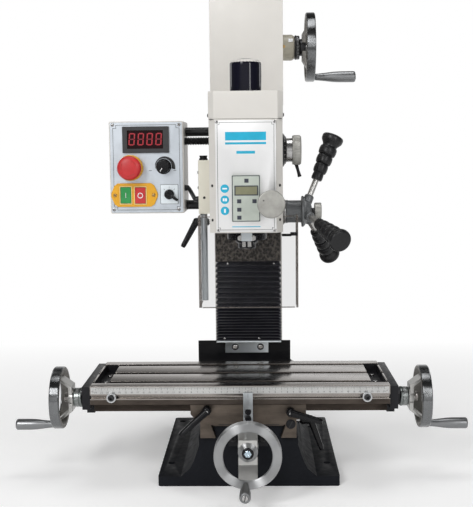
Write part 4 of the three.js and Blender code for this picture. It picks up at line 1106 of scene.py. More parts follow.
def screw_thread(start, end, pitch, steps=14):
    """A thread along Y as one helical strip."""
    total = int((end - start) / pitch) * steps
    width = len(THREAD)
    points, faces = [], []
    for index in range(total + 1):
        angle = TURN * index / steps
        for offset, radius in THREAD:
            y = start + pitch * index / steps + offset
            points.append((radius * math.cos(angle), y, SADDLE_FEED_Z + radius * math.sin(angle)))
    for index in range(total):
        for a in range(index * width, index * width + width - 1):
            faces.append((a, a + 1, a + width + 1, a + width))
        wrap = index + steps
        if wrap < total:
            crest = index * width + width - 1
            faces.append((crest, wrap * width, (wrap + 1) * width, crest + width))
    return Shape(points, faces)


def make_screws():
    """The leadscrews: threads in the middle, plain journals at their ends."""
    dress("x_leadscrew", THREAD_X)
    dress("z_leadscrew", THREAD_Z)
    dress("feed_nuts", BRONZE)
    screw = span["y_leadscrew"]
    start, end = -174, screw.y1 - 4
    piece("y_screw_thread", screw_thread(start, end, 2.5), STEEL, "y_screw", angle=30)
    core = [
        (0, screw.y0), (4, screw.y0), (4, screw.y0 + 7), (7, screw.y0 + 7), (7, start), (6.5, start),
        (6.5, end + 3), (7.9, end + 3.2), (7.9, screw.y1), (0, screw.y1),
    ]
    turned("y_screw_core", core, 0, "y", (0, 0, SADDLE_FEED_Z), 40, STEEL, "y_screw", "y_leadscrew")
    recast("y_bearing_bracket", BLACK_CAST, 1.8)
    for side, way, _ in SIDES:
        at = (way * 25.5, -190, SADDLE_FEED_Z)
        socket_screw(f"y_bearing_screw_{side}", at, "-y", 6, DARK_STEEL, "root", 6)


# ---------- head ----------
SELECTOR = (0, -130, 568.5)
FEED = (0, -90, 462.5)
FINE_FEED = (40, 484.5)  # X and Z of the fine feed knob's axis
GRIP_LENGTH = 84
FEED_ARMS = 3
# radius, middle along the grip, half length and swell of each ring
GRIP_RINGS = ((12.2, 21.5, 9.0, 2.4), (14.0, 38, 8.6, 2.6), (15.6, 54.5, 8.4, 2.8))


def make_head():
    recast("head_casting", CREAM, 1.2)
    recast("head_top_cover", CREAM, 1.0)
    recast("way_cover", CREAM, 0.6)
    recast("z_slide", WRINKLED, 1.0)
    dress("motor", BLACK_CAST)
    bar("head_seam", (-58.5, 58.5), (-193, 17), (618.9, 619.5), DARK_MARK_AND_HOLE_SHADE, "head")
    for side, way, axis in SIDES:
        for y in (-170, -40):
            cross_screw(f"cover_screw_{side}_{-y}", (way * 60.6, y, 626), axis, 3.4, DARK_STEEL, "head")
        # The holes in the head's sides and chamfers are dark discs: painted shade.
        for z in (456, 512):
            for y in (-175, -60):
                name, at = f"head_hole_{side[0]}_{-y}_{z}", (way * 59.95, y, z)
                turned(name, pin(2.3, 0, 0.25), 0, axis, at, 20, DARK_MARK_AND_HOLE_SHADE, "head")
            normal = Vector((way, -1, 0)).normalized()
            centre = Vector((way * 55, -190, z)) + normal * 0.05
            mark = lathe(pin(2.4, 0, 0.25), segments=40).from_to(centre, centre + normal)
            piece(f"chamfer_hole_{side[0]}_{z}", mark, DARK_MARK_AND_HOLE_SHADE, "head")
    # The slots under the head are dark bars: painted shade.
    for y in (-150, -110):
        bar(f"head_underside_slot_{-y}", (-34, 34), (y - 1.5, y + 1.5), (434.6, 435.2), DARK_MARK_AND_HOLE_SHADE, "head")


def make_drawbar_cap():
    low, high = span["head_top_cover"].z0, span["head_top_cover"].z1
    radius, rise = 24.6, 5.2
    skin = [(26.35, low + 43), (26.5, low + 45.2), (26.5, high - 8.5), (radius, high - rise)]
    turned("drawbar_cap", skin, 1.5, "z", SPINDLE, 96, NAVY, "head", slot="black_plastic")
    dome = []
    for step in range(9):
        share = step / 8
        dome.append((radius * (1 - share), high - rise + rise * math.sin(share * math.pi / 2)))
    turned("drawbar_cap_dome", dome, 0, "z", SPINDLE, 96, CAP_TOP, "head")
    flange = [(26.4, 664), (29.5, 664), (29.5, 665.4), (26.6, 666)]
    turned("drawbar_cap_flange", flange, 0.5, "z", SPINDLE, 96, NAVY, "head")


def frame_line(name, xs, zs, face, width, notch):
    """A printed border line with its corners stepped round the screws."""
    def loop(inset):
        a0, a1, b0, b1 = xs[0] + inset, xs[1] - inset, zs[0] + inset, zs[1] - inset
        c0, c1, d0, d1 = a0 + notch, a1 - notch, b0 + notch, b1 - notch
        return [
            (c0, b0), (c1, b0), (c1, d0), (a1, d0), (a1, d1), (c1, d1),
            (c1, b1), (c0, b1), (c0, d1), (a0, d1), (a0, d0), (c0, d0),
        ]
    print_on(name, loop(0), face, DARK_MARK_AND_HOLE_SHADE, [loop(width)])


def make_front_plate():
    recast("head_front_plate", PLATE, 0.5)
    face = span["head_front_plate"].y0
    frame_line("plate_border", (-46, 46), (440, 614), face, 0.65, 3.4)
    for name, x, z in (("tl", -46.5, 614.5), ("tr", 46.5, 614.5), ("bl", -45.4, 439.5), ("br", 46, 439.5)):
        cross_screw(f"plate_screw_{name}", (x, face, z), "-y", 2.6, STEEL, "head")
    bars = Shape()  # plain bars where a maker's print would be
    for z0, z1, reach in ((585, 598.5, 33), (578.5, 582, 33), (563.5, 568, 15), (444.6, 446, 23)):
        bars += block((-reach, reach), (face - 0.08, face + 0.05), (z0, z1))
    piece("teal_bars", bars, TEAL, "head")
    upright = [(-1.4, 1.4, 3.2)]
    pair = [(-3.4, -0.4, 2.4), (0.4, 3.4, 2.4)]
    level = [(-3.8, 3.8, 1.2)]
    for index, (z, marks) in enumerate(((471.5, upright), (489.5, pair), (507.5, level))):
        x = -34.5
        turned(f"teal_disc_{index}", pin(6.9, 0, 0.09), 0, "-y", (x, face, z), 48, TEAL, "head")
        sign = Shape()
        for left, right, half in marks:
            sign += block((x + left, x + right), (face - 0.16, face - 0.02), (z - half, z + half))
        piece(f"teal_disc_mark_{index}", sign, WHITE, "head")


def make_read_out():
    unit = span["quill_read_out"]
    face = unit.y0
    shell = prism(inset_rectangle(unit, 0, 1.5), face, unit.y1, "y")
    piece("read_out_shell", shell, READ_OUT, "head", "quill_read_out", 0.6)
    rim = inset_rectangle(unit, 0.6, 1.2), face - 0.04, face + 0.05
    panel("read_out_rim", *rim, KEY_GREY, "head", [inset_rectangle(unit, 1.9, 1.0)])
    hole = rounded_rectangle(-16.8, 18.0, 498.2, 511.0, 0.5)
    window = rounded_rectangle(-18.6, 19.8, 496.6, 512.6, 0.8)
    panel("read_out_bezel", window, face - 0.5, face, KEY_GREY, "head", [hole])
    bar("read_out_window", (-16.9, 18.1), (face - 0.12, face + 0.02), (498.1, 511.1), LCD, "head")
    for index, (x, z) in enumerate(((0.9, 520.4), (-11, 487.4), (-11, 473.8), (-11, 461.0), (13.6, 487.4))):
        key = (x - 3.4, x + 3.4), (face - 0.7, face + 0.1), (z - 3.2, z + 3.2)
        bar(f"read_out_key_{index}", *key, KEY_GREY, "head", 0.5)
    ring = [(11.2, 0), (11.6, 0.12), (12.0, 0)]
    turned("read_out_ring", ring, 0, "-y", (8.5, face, 471), 64, READ_OUT, "head")


def make_fine_feed():
    knob = span["fine_feed_knob"]
    x, z = FINE_FEED
    at = (x, knob.y0, z)
    disc = [
        (0, 0), (20.6, 0), (22, 1.2), (22, 10.5), (20.5, 12.4), (17, 13.4), (13, 15.5), (12, 22), (0, 22),
    ]
    turned("fine_feed_disc", disc, 1.0, "y", at, 96, KNOB_GREY, "fine_feed", "fine_feed_knob")
    turned("fine_feed_shaft", pin(5, 21, knob.y1 - knob.y0), 0, "y", at, 48, STEEL, "fine_feed")
    bush = [*pin(10, 0, 3.2, 5.6), (5.6, 0)]
    foot = (x, span["head_front_plate"].y0 + 0.1, z)
    turned("fine_feed_bush", bush, 0.6, "-y", foot, 48, DARK_STEEL, "head")
    # The dimple in the knob's face is a dark disc: painted shade.
    dimple = [(0, -0.02), (1.2, -0.02), (1.0, 0.3), (0, 0.4)]
    turned("fine_feed_dimple", dimple, 0, "y", (x - 12, knob.y0 + 0.02, z + 6), 20, DARK_MARK_AND_HOLE_SHADE, "fine_feed")


def make_selector():
    flange = [(28.2, 59.8), (28.2, 62.2), (24.5, 64.6), (21.8, 67.2), (20.2, 67.3)]
    turned("selector_flange", flange, 1.2, "x", SELECTOR, 72, DARK_STEEL, "head", slot="grey_casting")
    neck = [(0, 60), (6.2, 60), (6.2, 67.4), (20, 67.4), (20, 79), (0, 79)]
    turned("selector_neck", neck, 0.6, "x", SELECTOR, 72, STEEL, "gear_selector")
    rear = [(0, 77.6), (24.3, 77.6), (24.5, 80.5), (0, 80.5)]
    front = [(0, 90.1), (24.5, 90.1), (23, 92.2), (9, 92.2), (8, 91.4), (0, 91.4)]
    ring = prism(cog(25.0, 24.55, 60), 80.3, 90.3, "z")
    ring += lathe(rounded(rear, 0.8), segments=72) + lathe(rounded(front, 0.8), segments=72)
    ring = ring.along("x", SELECTOR)
    piece("selector_ring", ring, KNOB_GREY, "gear_selector", "gear_selector", angle=28)
    y = SELECTOR[1]
    path = smooth_path([(84, y, 546), (86, y, 538), (88, y, 531), (90, y, 523.6)], 4)
    radii = [3.4 - 0.8 * math.sin(math.pi * t / (len(path) - 1)) for t in range(len(path))]
    piece("selector_lever", tube(path, radii, 16), BLACK_PLASTIC, "gear_selector", bevel=0.6)


def handle_point(index, share):
    """A point on a feed handle's axis: share 0 is in the hub and 1 the grip's outer end."""
    angle = math.radians(-12 + 360 / FEED_ARMS * index)
    radius = 12 + 121 * share
    return Vector((103 + 50 * share, FEED[1] - radius * math.sin(angle), FEED[2] + radius * math.cos(angle)))


def grip_profile():
    """Three swelling rings and a flared, rounded end, as on a moulded rubber grip."""
    profile = [(0, 0), (8.4, 0), (9.4, 0.8), (9.9, 4), (9.6, 9.5), (9.0, 12)]
    for radius, centre, reach, swell in GRIP_RINGS:
        for step in range(9):
            angle = math.pi * step / 8
            across = radius - swell + swell * math.sin(angle) ** 0.8
            profile.append((across, centre - reach * math.cos(angle) * 0.92))
    profile += [(12.9, 64), (13.4, 66), (15.6, 69), (17.9, 72), (18.9, 75), (19.0, 79), (18.4, 81.4)]
    return profile + [(17.0, 82.8), (15.0, 83.5), (8, 83.9), (0, GRIP_LENGTH)]


def make_feed():
    ring = [(0, 64), (21, 64), (21, 66.6), (19.6, 67.2), (0, 67.2)]
    turned("feed_hub_ring", ring, 0.5, "x", FEED, 72, STEEL, "feed_hub")
    body = [
        (0, 67), (19.5, 67), (19.9, 68.5), (20.2, 70.2), (19.3, 71), (19.3, 94), (26.2, 94.6), (27, 95.6),
        (27, 97.4), (25, 99.6), (20.5, 102.5), (17.5, 108.5), (15.8, 111), (8, 112.4), (0, 112.4),
    ]
    turned("feed_hub_body", body, 1.2, "x", FEED, 96, HUB_GREY, "feed_hub", "feed_hub")
    bearing = pin(23, 60, 63.4)
    turned("feed_bearing_ring", bearing, 0.8, "x", FEED, 72, DARK_STEEL, "head", slot="grey_casting")
    shaft = lathe(pin(8, -24, 64.4), "x", FEED, 32) + prism(cog(9.6, 8.6, 16), -11, 11).along("x", FEED)
    shaft += lathe([(0, 35), (13.6, 35), (12.6, 40.5), (13.6, 46), (0, 46)], "x", FEED, 48)
    piece("feed_shaft", shaft, STEEL, "feed_hub")
    reach = (handle_point(0, 1) - handle_point(0, 0)).length
    rod = lathe(rounded(pin(5.15, 0, reach - 74), 0.4), segments=32)
    boss = [(0, 2), (8.2, 2), (8.2, 15), (7.2, 17), (5.2, 17.4), (0, 17.4)]
    boss = lathe(rounded(boss, 1.0), segments=40)
    grip = lathe(rounded(grip_profile(), 0.8), segments=56)
    for index in range(FEED_ARMS):
        foot, tip = handle_point(index, 0), handle_point(index, 1)
        mark = index + 1
        piece(f"feed_rod_{mark}", rod.from_to(foot, tip), BRUSHED_BAR, "feed_hub")
        piece(f"feed_boss_{mark}", boss.from_to(foot, tip), HUB_GREY, "feed_hub")
        start = foot.lerp(tip, 1 - GRIP_LENGTH / reach)
        handle = grip.from_to(start, tip)
        piece(f"feed_handle_{mark}", handle, BLACK_RUBBER, "feed_hub", f"feed_grip_{mark}", angle=60)
    disc = [(0, 117), (14, 117), (15, 118), (15, 128), (14, 129), (0, 129)]
    turned("feed_clutch_disc", disc, 0.8, "x", FEED, 72, KNOB_GREY, "feed_clutch", "feed_clutch_knob")
    turned("feed_clutch_stem", pin(6, 112, 116.7), 0, "x", FEED, 32, DARK_STEEL, "feed_hub")


def make_quill():
    recast("quill", BLACK_CAST, 0.6)
    dress("spindle", STEEL)
    skirt = [(33.05, 420), (33.3, 421), (33.3, 434), (33.05, 434.5)]
    turned("quill_skirt", skirt, 0.3, "z", SPINDLE, 96, BLACKENED, "quill")
    nose = [(11.2, 404), (15, 404), (15, 411), (19, 414), (19, 418), (19.6, 418.6)]
    nose = [(8, 462), (8.6, 450), (11, 404.6), (11.2, 404), *rounded(nose, 0.8)]
    turned("spindle_nose", nose, 0, "z", SPINDLE, 72, BLACKENED, "spindle", slot="polished_steel")
    # The quill's arm is the lighter zinc: painted light.
    bar("quill_arm", (-9.2, 9.2), (-176, -160), (419.4, 434.6), ZINC_PAINTED_LIGHTER, "quill", 1.4)
    for side, way, _ in SIDES:
        at = (way * 10.5, -172.5, 424.5)
        socket_screw(f"quill_arm_screw_{side}", at, "-y", 4.6, BRIGHT_STEEL, "quill", 3.4)
        xs = (way * 4.5 - 3, way * 4.5 + 3)
        bar(f"quill_arm_foot_{side}", xs, (-174, -166), (409.5, 419.3), BRIGHT_STEEL, "quill", 0.8)
    turned("quill_read_out_rod", pin(3.2, 0, 22), 0.4, "z", (0, -168, 434), 24, STEEL, "quill")


# ---------- guard ----------
GUARD_POST = (-73.5, -110, 0)


def make_guard_block():
    box = span["guard_block"]
    shell = prism(rounded_rectangle(box.x0, box.x1, box.y0, box.y1, 3), 462, 553)
    piece("guard_block_body", shell, IVORY, "head", "guard_block", 1.0)
    cap = [
        (0, 552.8), (7.4, 552.8), (7.4, 555.6), (6.2, 556.2),
        (6.2, 558.6), (7, 559.4), (7, 560.8), (0, 560.9),
    ]
    turned("guard_block_cap", cap, 0.5, "z", GUARD_POST, 40, BLACK_PLASTIC, "head")
    for index, z in enumerate((506, 532)):
        at = (box.x0, GUARD_POST[1], z)
        cross_screw(f"guard_block_screw_{index}", at, "-x", 3, DARK_STEEL, "head")
    # The hole in the block's face is a dark disc: painted shade.
    turned("guard_block_hole", pin(2.3, 0, 0.15), 0, "-y", (-72, box.y0, 489.5), 24, DARK_MARK_AND_HOLE_SHADE, "head")


def make_guard():
    """The clear sheet, bent round its front corners, with pale edges of painted reflection, on a rod with two
    clips.
    """
    guard = span["chuck_guard"]
    left, right, front, low, high = guard.x0, guard.x1, guard.y0, guard.z0, guard.z1
    back = GUARD_POST[1] - 2
    rod = pin(5.5, low + 2, 461.5)
    turned("guard_rod", rod, 0.6, "z", GUARD_POST, 40, ZINC, "guard", slot="ground_steel")
    sheet = [
        (left, back), (left, front + 6), (left + 1.8, front + 1.8), (left + 6, front),
        (right - 4, front), (right - 1.2, front + 1.2), (right, front + 4), (right, front + 32),
        (right - 3, front + 32), (right - 3, front + 6), (right - 3.8, front + 3.8), (right - 6, front + 3),
        (left + 8, front + 3), (left + 4.4, front + 4.4), (left + 3, front + 8), (left + 3, back),
    ]
    piece("guard_sheet", prism(sheet, low, high), CLEAR, "guard", "chuck_guard", 0.4)
    edges = (
        ((left, left + 4.6), (front + 4, front + 9), (low, high)),
        ((right - 3.4, right), (front + 2, front + 5), (low, high)),
        ((right - 3.2, right), (front + 29, front + 32), (low, high)),
        ((left + 6, right - 6), (front + 0.2, front + 2.8), (low, low + 1.6)),
        ((left + 6, right - 6), (front + 0.2, front + 2.8), (high - 1.6, high)),
        ((left, left + 3), (front + 9, back), (high - 1.4, high)),
        ((left, left + 3), (front + 9, back), (low, low + 1.4)),
    )
    # Pale brown-grey bars along the sheet's edges: painted reflection.
    for index, edge in enumerate(edges):
        bar(f"guard_edge_{index}", *edge, CLEAR_EDGE_REFLECTION, "guard", 0.5)
    for index, zs in enumerate(((416, 426), (330, 340))):
        bar(f"guard_clip_{index}", (left + 0.2, GUARD_POST[0]), (-115, -107), zs, ZINC, "guard", 0.8)
    for index, (xs, zs) in enumerate((((58, 74), (427.6, 431.6)), ((72, 84), (428.6, 434.2)))):
        ys = (front + 0.4, front + 9)
        bar(f"guard_top_clip_{index}", xs, ys, zs, BLACK_PLASTIC, "guard", 1.4)
    latch = (right - 3.4, right), (front + 12, front + 20), (368, 382)
    bar("guard_latch", *latch, BLACK_PLASTIC, "guard", 1.2)


# ---------- control box ----------
# X and Z of each control's middle on the box's front
STOP_BUTTON = (-203.3, 540.4)
SPEED_KNOB = (-145.5, 542.3)
SWITCH = (-136.5, 493.5)
ROCKERS = (("start", -212.5, 492.5, GREEN), ("stop", -187, 492, RED))
BOX_DEPTH = 104


def make_control_box():
    box = span["control_box"]
    x0, x1, z0, z1 = box.x0, box.x1, box.z0, box.z1
    face, back = box.y0, box.y0 + BOX_DEPTH
    walls = prism(inset_rectangle(box, 0, 2.2), face + 1.2, back, "y", [inset_rectangle(box, 3.5, 1.5)])
    rear = prism(inset_rectangle(box, 1, 2), back - 2.5, back - 0.4, "y")
    piece("control_shell", walls + rear, CREAM, "head", "control_box", 0.5)
    holes = [circle(STOP_BUTTON, 11.6), circle(SPEED_KNOB, 3.9), circle(SWITCH, 3.9)]
    for _, x, z, _ in ROCKERS:
        holes.append([(x - 9.3, z - 14.3), (x + 9.3, z - 14.3), (x + 9.3, z + 14.3), (x - 9.3, z + 14.3)])
    outline = inset_rectangle(box, 1.8, 2)
    panel("control_panel", outline, face, face + 2.2, PANEL, "head", holes, 0.35)
    frame_line("control_border", (x0 + 6.5, x1 - 6.5), (z0 + 6, z1 - 6), face, 0.7, 5.5)
    for name, x, z in (("tl", -234, 615), ("tr", -117.6, 614.7), ("bl", -234.3, 467), ("br", -119.7, 466.7)):
        cross_screw(f"control_screw_{name}", (x, face, z), "-y", 3.0, STEEL, "head")
    gland = [(0, 0), (9, 0), (9, 5), (7.4, 6), (7.4, 10.5), (5.5, 11.9), (0, 11.9)]
    turned("control_gland", gland, 0.8, "y", (-200, back - 0.4, 484), 40, BLACK_PLASTIC, "head")
    for row, z in (("t", z1 - 8), ("b", z0 + 8)):
        for column, x in (("l", x0 + 8), ("r", x1 - 8)):
            name = f"control_back_screw_{row}{column}"
            cross_screw(name, (x, back - 1.9, z), "y", 2.4, STEEL, "head")
    make_display(face)
    make_emergency_stop(face)
    make_speed_knob(face)
    make_rockers(face)
    make_direction_switch(face)


def make_display(face):
    outer = rounded_rectangle(-216.7, -135.4, 566, 612, 1.2)
    inner = rounded_rectangle(-208.5, -145.5, 573.5, 605.5, 0.8)
    panel("display_bezel", outer, face - 4.2, face + 0.1, BEZEL, "head", [inner], 0.7)
    window = (face - 1.4, face + 0.05)
    bar("display_window", (-208.8, -145.2), window, (573.2, 605.8), SMOKED, "head")
    digits = "0000", -206.6, face - 1.42, 579.3, 10.8, 21.5, 2.1
    piece("display_lit", figures(*digits, 0.12, 0.08), GLOW_RED, "head")
    # The unlit segments glow faintly too: a painted glow.
    piece("display_unlit", figures(*digits, 0.08, 0.08, True), UNLIT_RED_WITH_GLOW, "head")


def make_emergency_stop(face):
    x, z = STOP_BUTTON
    at = (x, face, z)
    collar = [(11.5, 0), (22.5, 0), (22.5, 10), (20.5, 12), (13, 12), (11.5, 10), (11.5, 0)]
    turned("stop_collar", collar, 1.2, "-y", at, 72, YELLOW, "head")
    button = [
        (0, -4), (10.9, -4), (10.9, 17.4), (17, 17.6), (20.4, 19), (21, 21), (21, 24), (19, 27.4),
        (14, 29.6), (7, 30.7), (0, 31),
    ]
    turned("stop_mushroom", button, 2.2, "-y", at, 96, RED, "emergency_stop", "emergency_stop")
    # The pressed arrows are a darker red: painted shade.
    for index in range(3):
        arc = []
        for step in range(7):
            angle = math.radians(index * 120 + 20 + step * 9)
            arc.append((x + 13.2 * math.cos(angle), face - 29.95, z + 13.2 * math.sin(angle)))
        piece(f"stop_arrow_{index}", tube(arc, 0.45, 8), PRESSED_RED_SHADE, "emergency_stop")


def make_speed_knob(face):
    x, z = SPEED_KNOB
    at = (x, face, z)
    dial = [
        (0, -4), (3.4, -4), (3.4, 1), (13.5, 1), (13.5, 3.2), (11.8, 4.4), (11.2, 14.6), (10, 15.9), (0, 16),
    ]
    knob = lathe(rounded(dial, 0.7), segments=72)
    for index in range(24):
        knob += block((10.9, 11.9), (-0.6, 0.6), (4.4, 13.4)).turned("z", 15 * index)
    piece("speed_dial", knob.along("-y", at), BLACK_PLASTIC, "speed_knob", "speed_knob")
    pointer = block((-0.5, 0.5), (3, 9.6), (15.9, 16.15)).turned("z", 150).along("-y", at)
    piece("speed_pointer", pointer, WHITE, "speed_knob")
    outer, inner = [], []
    for step in range(41):
        share = step / 40
        angle = math.radians(-165 - 210 * share)
        width = 0.6 + 6.2 * share**1.2
        outer.append((x + (14.2 + width) * math.cos(angle), z + (14.2 + width) * math.sin(angle)))
        inner.append((x + 14.2 * math.cos(angle), z + 14.2 * math.sin(angle)))
    print_on("speed_crescent", outer + inner[::-1], face, DARK_MARK_AND_HOLE_SHADE)
    marks = Shape()
    for left in (-26, 17):
        marks += block((x + left, x + left + 5), (face - 0.08, face + 0.05), (z - 7.4, z - 6.6))
    piece("speed_marks", marks, DARK_MARK_AND_HOLE_SHADE, "head")


def make_rockers(face):
    z0, z1 = 472, 513.5
    x0, x1 = -238.4, -156.6
    mid = (z0 + z1) / 2
    outline = [
        (x0 + 12, z0), (x1 - 12, z0), (x1 - 6, z0 + 4), (x1, mid - 3), (x1, mid + 3), (x1 - 6, z1 - 4),
        (x1 - 12, z1), (x0 + 12, z1), (x0 + 6, z1 - 4), (x0, mid + 3), (x0, mid - 3), (x0 + 6, z0 + 4),
    ]
    holes = [rounded_rectangle(x - 9.6, x + 9.6, z - 14.6, z + 14.6, 1) for _, x, z, _ in ROCKERS]
    panel("rocker_plate", outline, face - 3.6, face + 0.1, YELLOW, "head", holes, 1.0)
    for name, x in (("left", -231.5), ("right", -163.8)):
        cross_screw(f"rocker_screw_{name}", (x, face - 3.5, 492.6), "-y", 3.2, BRONZE, "head")
    for name, x, z, look in ROCKERS:
        outer = rounded_rectangle(x - 11.2, x + 11.2, z - 16.2, z + 16.2, 1.6)
        inner = rounded_rectangle(x - 9.5, x + 9.5, z - 14.5, z + 14.5, 1)
        panel(f"{name}_rim", outer, face - 5.2, face - 3.4, AMBER_RIM, "head", [inner], 0.5)
        keys = []
        for step in range(9):
            share = step / 8
            keys.append((face - 5.6 - 0.4 * math.cos(share * TURN), z - 14 + 28 * share))
        key = prism([*keys, (face + 3, z + 14), (face + 3, z - 14)], x - 9, x + 9, "x")
        piece(f"{name}_rocker", key, look, f"{name}_button", f"{name}_button", 0.5)
    bar("start_sign", (-212.9, -212.1), (face - 6.15, face - 5.9), (488, 497), WHITE, "start_button")
    _, x, z, _ = ROCKERS[1]
    ring = [(3.6, 0), (3.6, 0.2), (4.8, 0.2), (4.8, 0), (3.6, 0)]
    turned("stop_sign", ring, 0, "-y", (x, face - 5.95, z), 48, WHITE, "stop_button")


def make_direction_switch(face):
    x, z = SWITCH
    hole = circle(SWITCH, 4.2)
    plate = rounded_rectangle(-151.6, -121.2, 477, 510.2, 1.2)
    # The switch plate is the lighter zinc: painted light.
    panel("switch_plate", plate, face - 1.4, face + 0.1, ZINC_PAINTED_LIGHTER, "head", [hole], 0.4)
    edge = rounded_rectangle(-152.3, -120.5, 476.3, 510.9, 1.4)
    panel("switch_edge", edge, face - 0.4, face + 0.1, BEZEL, "head", [hole])
    for index, angle in enumerate((45, 0, -45)):
        mark = block((-0.35, 0.35), (11.2, 13.6), (0, 0.1)).turned("z", angle)
        piece(f"switch_mark_{index}", mark.along("-y", (x, face - 1.4, z)), DARK_MARK_AND_HOLE_SHADE, "head")
    pivot = [(0, -4), (3.4, -4), (3.4, 1.2), (9, 1.2), (8.6, 6), (7.4, 8.6), (0, 9)]
    body = "direction_switch"
    turned("switch_pivot", pivot, 0.8, "-y", (x, face, z), 48, BLACK_PLASTIC, body, body)
    path = [(-3, -7.5, 2), (4, -8.5, -2.6), (10, -11.5, -6.4), (15, -15, -9.6)]
    spots = smooth_path([(x + across, face + out, z + up) for across, out, up in path], 4)
    radii = [3.4 - 0.9 * index / (len(spots) - 1) for index in range(len(spots))]
    piece("switch_lever", tube(spots, radii, 16), BLACK_PLASTIC, body, bevel=0.5)


def make_arms():
    """The two tubes that carry the box, and the plate that they stand on."""
    arms = span["control_arms"]
    x0, x1, y = arms.x0, arms.x1, arms.cy
    turned("upper_arm", pin(8, x0, x1), 0, "x", (0, y, 602.8), 56, BLACK_TUBE, "head", "control_arms")
    turned("lower_arm", pin(8.4, x0, x1), 0, "x", (0, y, 471.8), 56, BLACK_TUBE, "head")
    plate = prism(rounded_rectangle(y - 11, y + 11, 460, 614, 3), x1 - 4.6, x1, "x")
    piece("arm_plate", plate, BLACK_CAST, "head", bevel=0.8)
    for z in (482, 592, 520):
        socket_screw(f"arm_plate_screw_{z}", (x1 - 4.6, y, z), "-x", 4, DARK_STEEL, "head", 3.5)


def make_cords():
    """The corrugated conduit and the guard switch's cable, each held at both ends."""
    conduit = span["wiring_conduit"]
    length = conduit.x1 - conduit.x0
    turns = int(length / 2.8)
    step = length / turns
    profile = [(0, 0)]
    for index in range(turns):
        start = index * step
        profile += [(5.6, start + 0.02), (7.1, start + step * 0.3)]
        profile += [(7.1, start + step * 0.5), (5.6, start + step * 0.8)]
    profile.append((0, length))
    hose = lathe(profile, "x", (conduit.x0, conduit.cy, 586), 40)
    piece("corrugated_conduit", hose, BLACK_PLASTIC, "head", "wiring_conduit", angle=60)
    cable = span["guard_cable"]
    box_end, block_end = (cable.x0, -59, 504), (cable.x1, -106, 486)
    points = [box_end, (cable.x0 + 6, -59, 504), (-96, -82.5, 495), (cable.x1 - 6, -106, 486), block_end]
    lead = tube(smooth_path(points, 10), 3.6, 24)
    piece("guard_lead", lead, BLACK_RUBBER, "head", "guard_cable", angle=60)
    sleeve = [(0, 0), (5.4, 0), (5.2, 3), (4.2, 7), (3.7, 8)]
    for name, at, way in (("box", box_end, "x"), ("block", block_end, "-x")):
        turned(f"guard_lead_sleeve_{name}", sleeve, 0.5, way, at, 32, BLACK_RUBBER, "head")


# ---------- setting, in metres ----------
BACKDROP_BY_DEPTH = ((0.0, 0.95), (0.06, 0.85), (0.16, 0.34), (0.35, 0.22), (0.85, 0.24), (0.955, 1.0))
BACKDROP_BY_HEIGHT = ((0.0, 1.0), (0.2, 1.0), (0.34, 0.45), (0.6, 0.30), (1.0, 0.30))
FLOOR_REACH = 9000
FLOOR_PLAIN_TO = 0.22
FLOOR_GLOW = 0.24
FLOOR_WHITE_FROM = 1.0
FLOOR_GREY = 0.90
LIGHT_AIM = (0, -0.05, 0.42)
# name, place, width and height, watts
LIGHTS = (
    ("key", (-1.15, -2.25, 1.75), (0.7, 1.1), 36),
    ("fill", (1.35, -2.2, 1.25), (0.35, 1.3), 15),
    ("top", (0.1, -0.2, 2.3), (1.3, 0.8), 12),
    ("back_left", (-1.7, 1.2, 1.3), (0.6, 1.1), 5),
    ("back_right", (1.7, 1.2, 1.3), (0.6, 1.1), 5),
)
CAMERA_PLACE = (0.0187, -1.691, 0.569)
CAMERA_LENS = 70.1
CAMERA_DOWN, CAMERA_HEADING, CAMERA_ROLL = 6.39, 1.35, -0.60  # degrees


def make_world():
    """A studio: a white backdrop behind the machine, a soft pale front, dark sides and a dark ceiling."""
    world = bpy.data.worlds.new("studio")
    bpy.context.scene.world = world
    world.use_nodes = True
    nodes, links = world.node_tree.nodes, world.node_tree.links
    place = nodes.new("ShaderNodeTexCoord")
    split = nodes.new("ShaderNodeSeparateXYZ")
    links.new(place.outputs["Generated"], split.inputs["Vector"])
    depth = spread(nodes, links, split.outputs["Y"], From_Min=-1)
    both = nodes.new("ShaderNodeMix")
    both.data_type = "RGBA"
    both.blend_type = "MULTIPLY"
    both.inputs["Factor"].default_value = 1
    links.new(ramp(nodes, links, depth, greys(BACKDROP_BY_DEPTH)), both.inputs["A"])
    links.new(ramp(nodes, links, split.outputs["Z"], greys(BACKDROP_BY_HEIGHT)), both.inputs["B"])
    links.new(both.outputs["Result"], nodes["Background"].inputs["Color"])


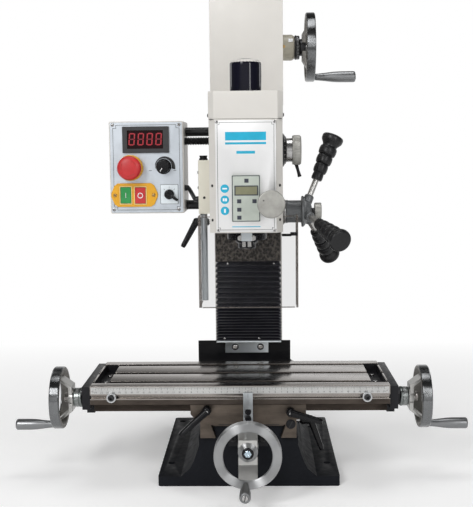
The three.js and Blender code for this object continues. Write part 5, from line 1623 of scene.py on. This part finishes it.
def floor_paint():
    """A pale floor that lights up behind the machine, so that it meets the white backdrop without a line."""
    look = Look("pale floor", 0.75, 0.0, (FLOOR_GREY,) * 3, 0, Emission_Color=(1, 1, 1, 1))
    split = look.nodes.new("ShaderNodeSeparateXYZ")
    look.links.new(look.place, split.inputs["Vector"])
    limits = {"From_Min": FLOOR_PLAIN_TO, "From_Max": FLOOR_WHITE_FROM, "To_Min": FLOOR_GLOW}
    strength = spread(look.nodes, look.links, split.outputs["Y"], **limits)
    look.links.new(strength, look.shader.inputs["Emission Strength"])
    return look.color(strength, greys(((FLOOR_GLOW, FLOOR_GREY), (1.0, 0.0)))).material


def make_setting():
    corners = [(FLOOR_REACH * x, FLOOR_REACH * y, 0) for x, y in ((-1, -1), (1, -1), (1, 1), (-1, 1))]
    piece("floor", Shape(corners, [[0, 1, 2, 3]]), floor_paint(), None)
    make_world()
    for name, at, size, power in LIGHTS:
        light = bpy.data.lights.new(name, "AREA")
        light.shape = "RECTANGLE"
        light.size, light.size_y = size
        light.energy = power
        lamp = bpy.data.objects.new(name, light)
        bpy.context.scene.collection.objects.link(lamp)
        lamp.location = at
        aim = Vector(LIGHT_AIM) - Vector(at)
        lamp.rotation_euler = aim.to_track_quat("-Z", "Y").to_euler()
    bpy.context.scene.view_settings.view_transform = "Standard"
    bpy.context.scene.view_settings.look = "None"


def make_camera():
    camera = bpy.data.cameras.new("camera")
    camera.sensor_fit = "HORIZONTAL"
    camera.sensor_width = 36
    camera.lens = CAMERA_LENS
    camera.clip_end = 60
    obj = bpy.data.objects.new("camera", camera)
    bpy.context.scene.collection.objects.link(obj)
    turn = Matrix.Identity(4)
    for angle, axis in ((CAMERA_HEADING, "Z"), (90 - CAMERA_DOWN, "X"), (CAMERA_ROLL, "Z")):
        turn = turn @ Matrix.Rotation(math.radians(angle), 4, axis)
    obj.matrix_world = Matrix.Translation(CAMERA_PLACE) @ turn
    bpy.context.scene.camera = obj


make_camera()
make_setting()
make_base()
make_column()
make_foot_bolts()
make_bellows()
make_bracket()
make_flap()
make_table_wheels()
make_saddle_wheel()
make_column_wheel()
make_saddle()
make_levers()
make_table()
make_screws()
make_head()
make_drawbar_cap()
make_front_plate()
make_read_out()
make_fine_feed()
make_selector()
make_feed()
make_quill()
make_guard_block()
make_guard()
make_control_box()
make_arms()
make_cords()
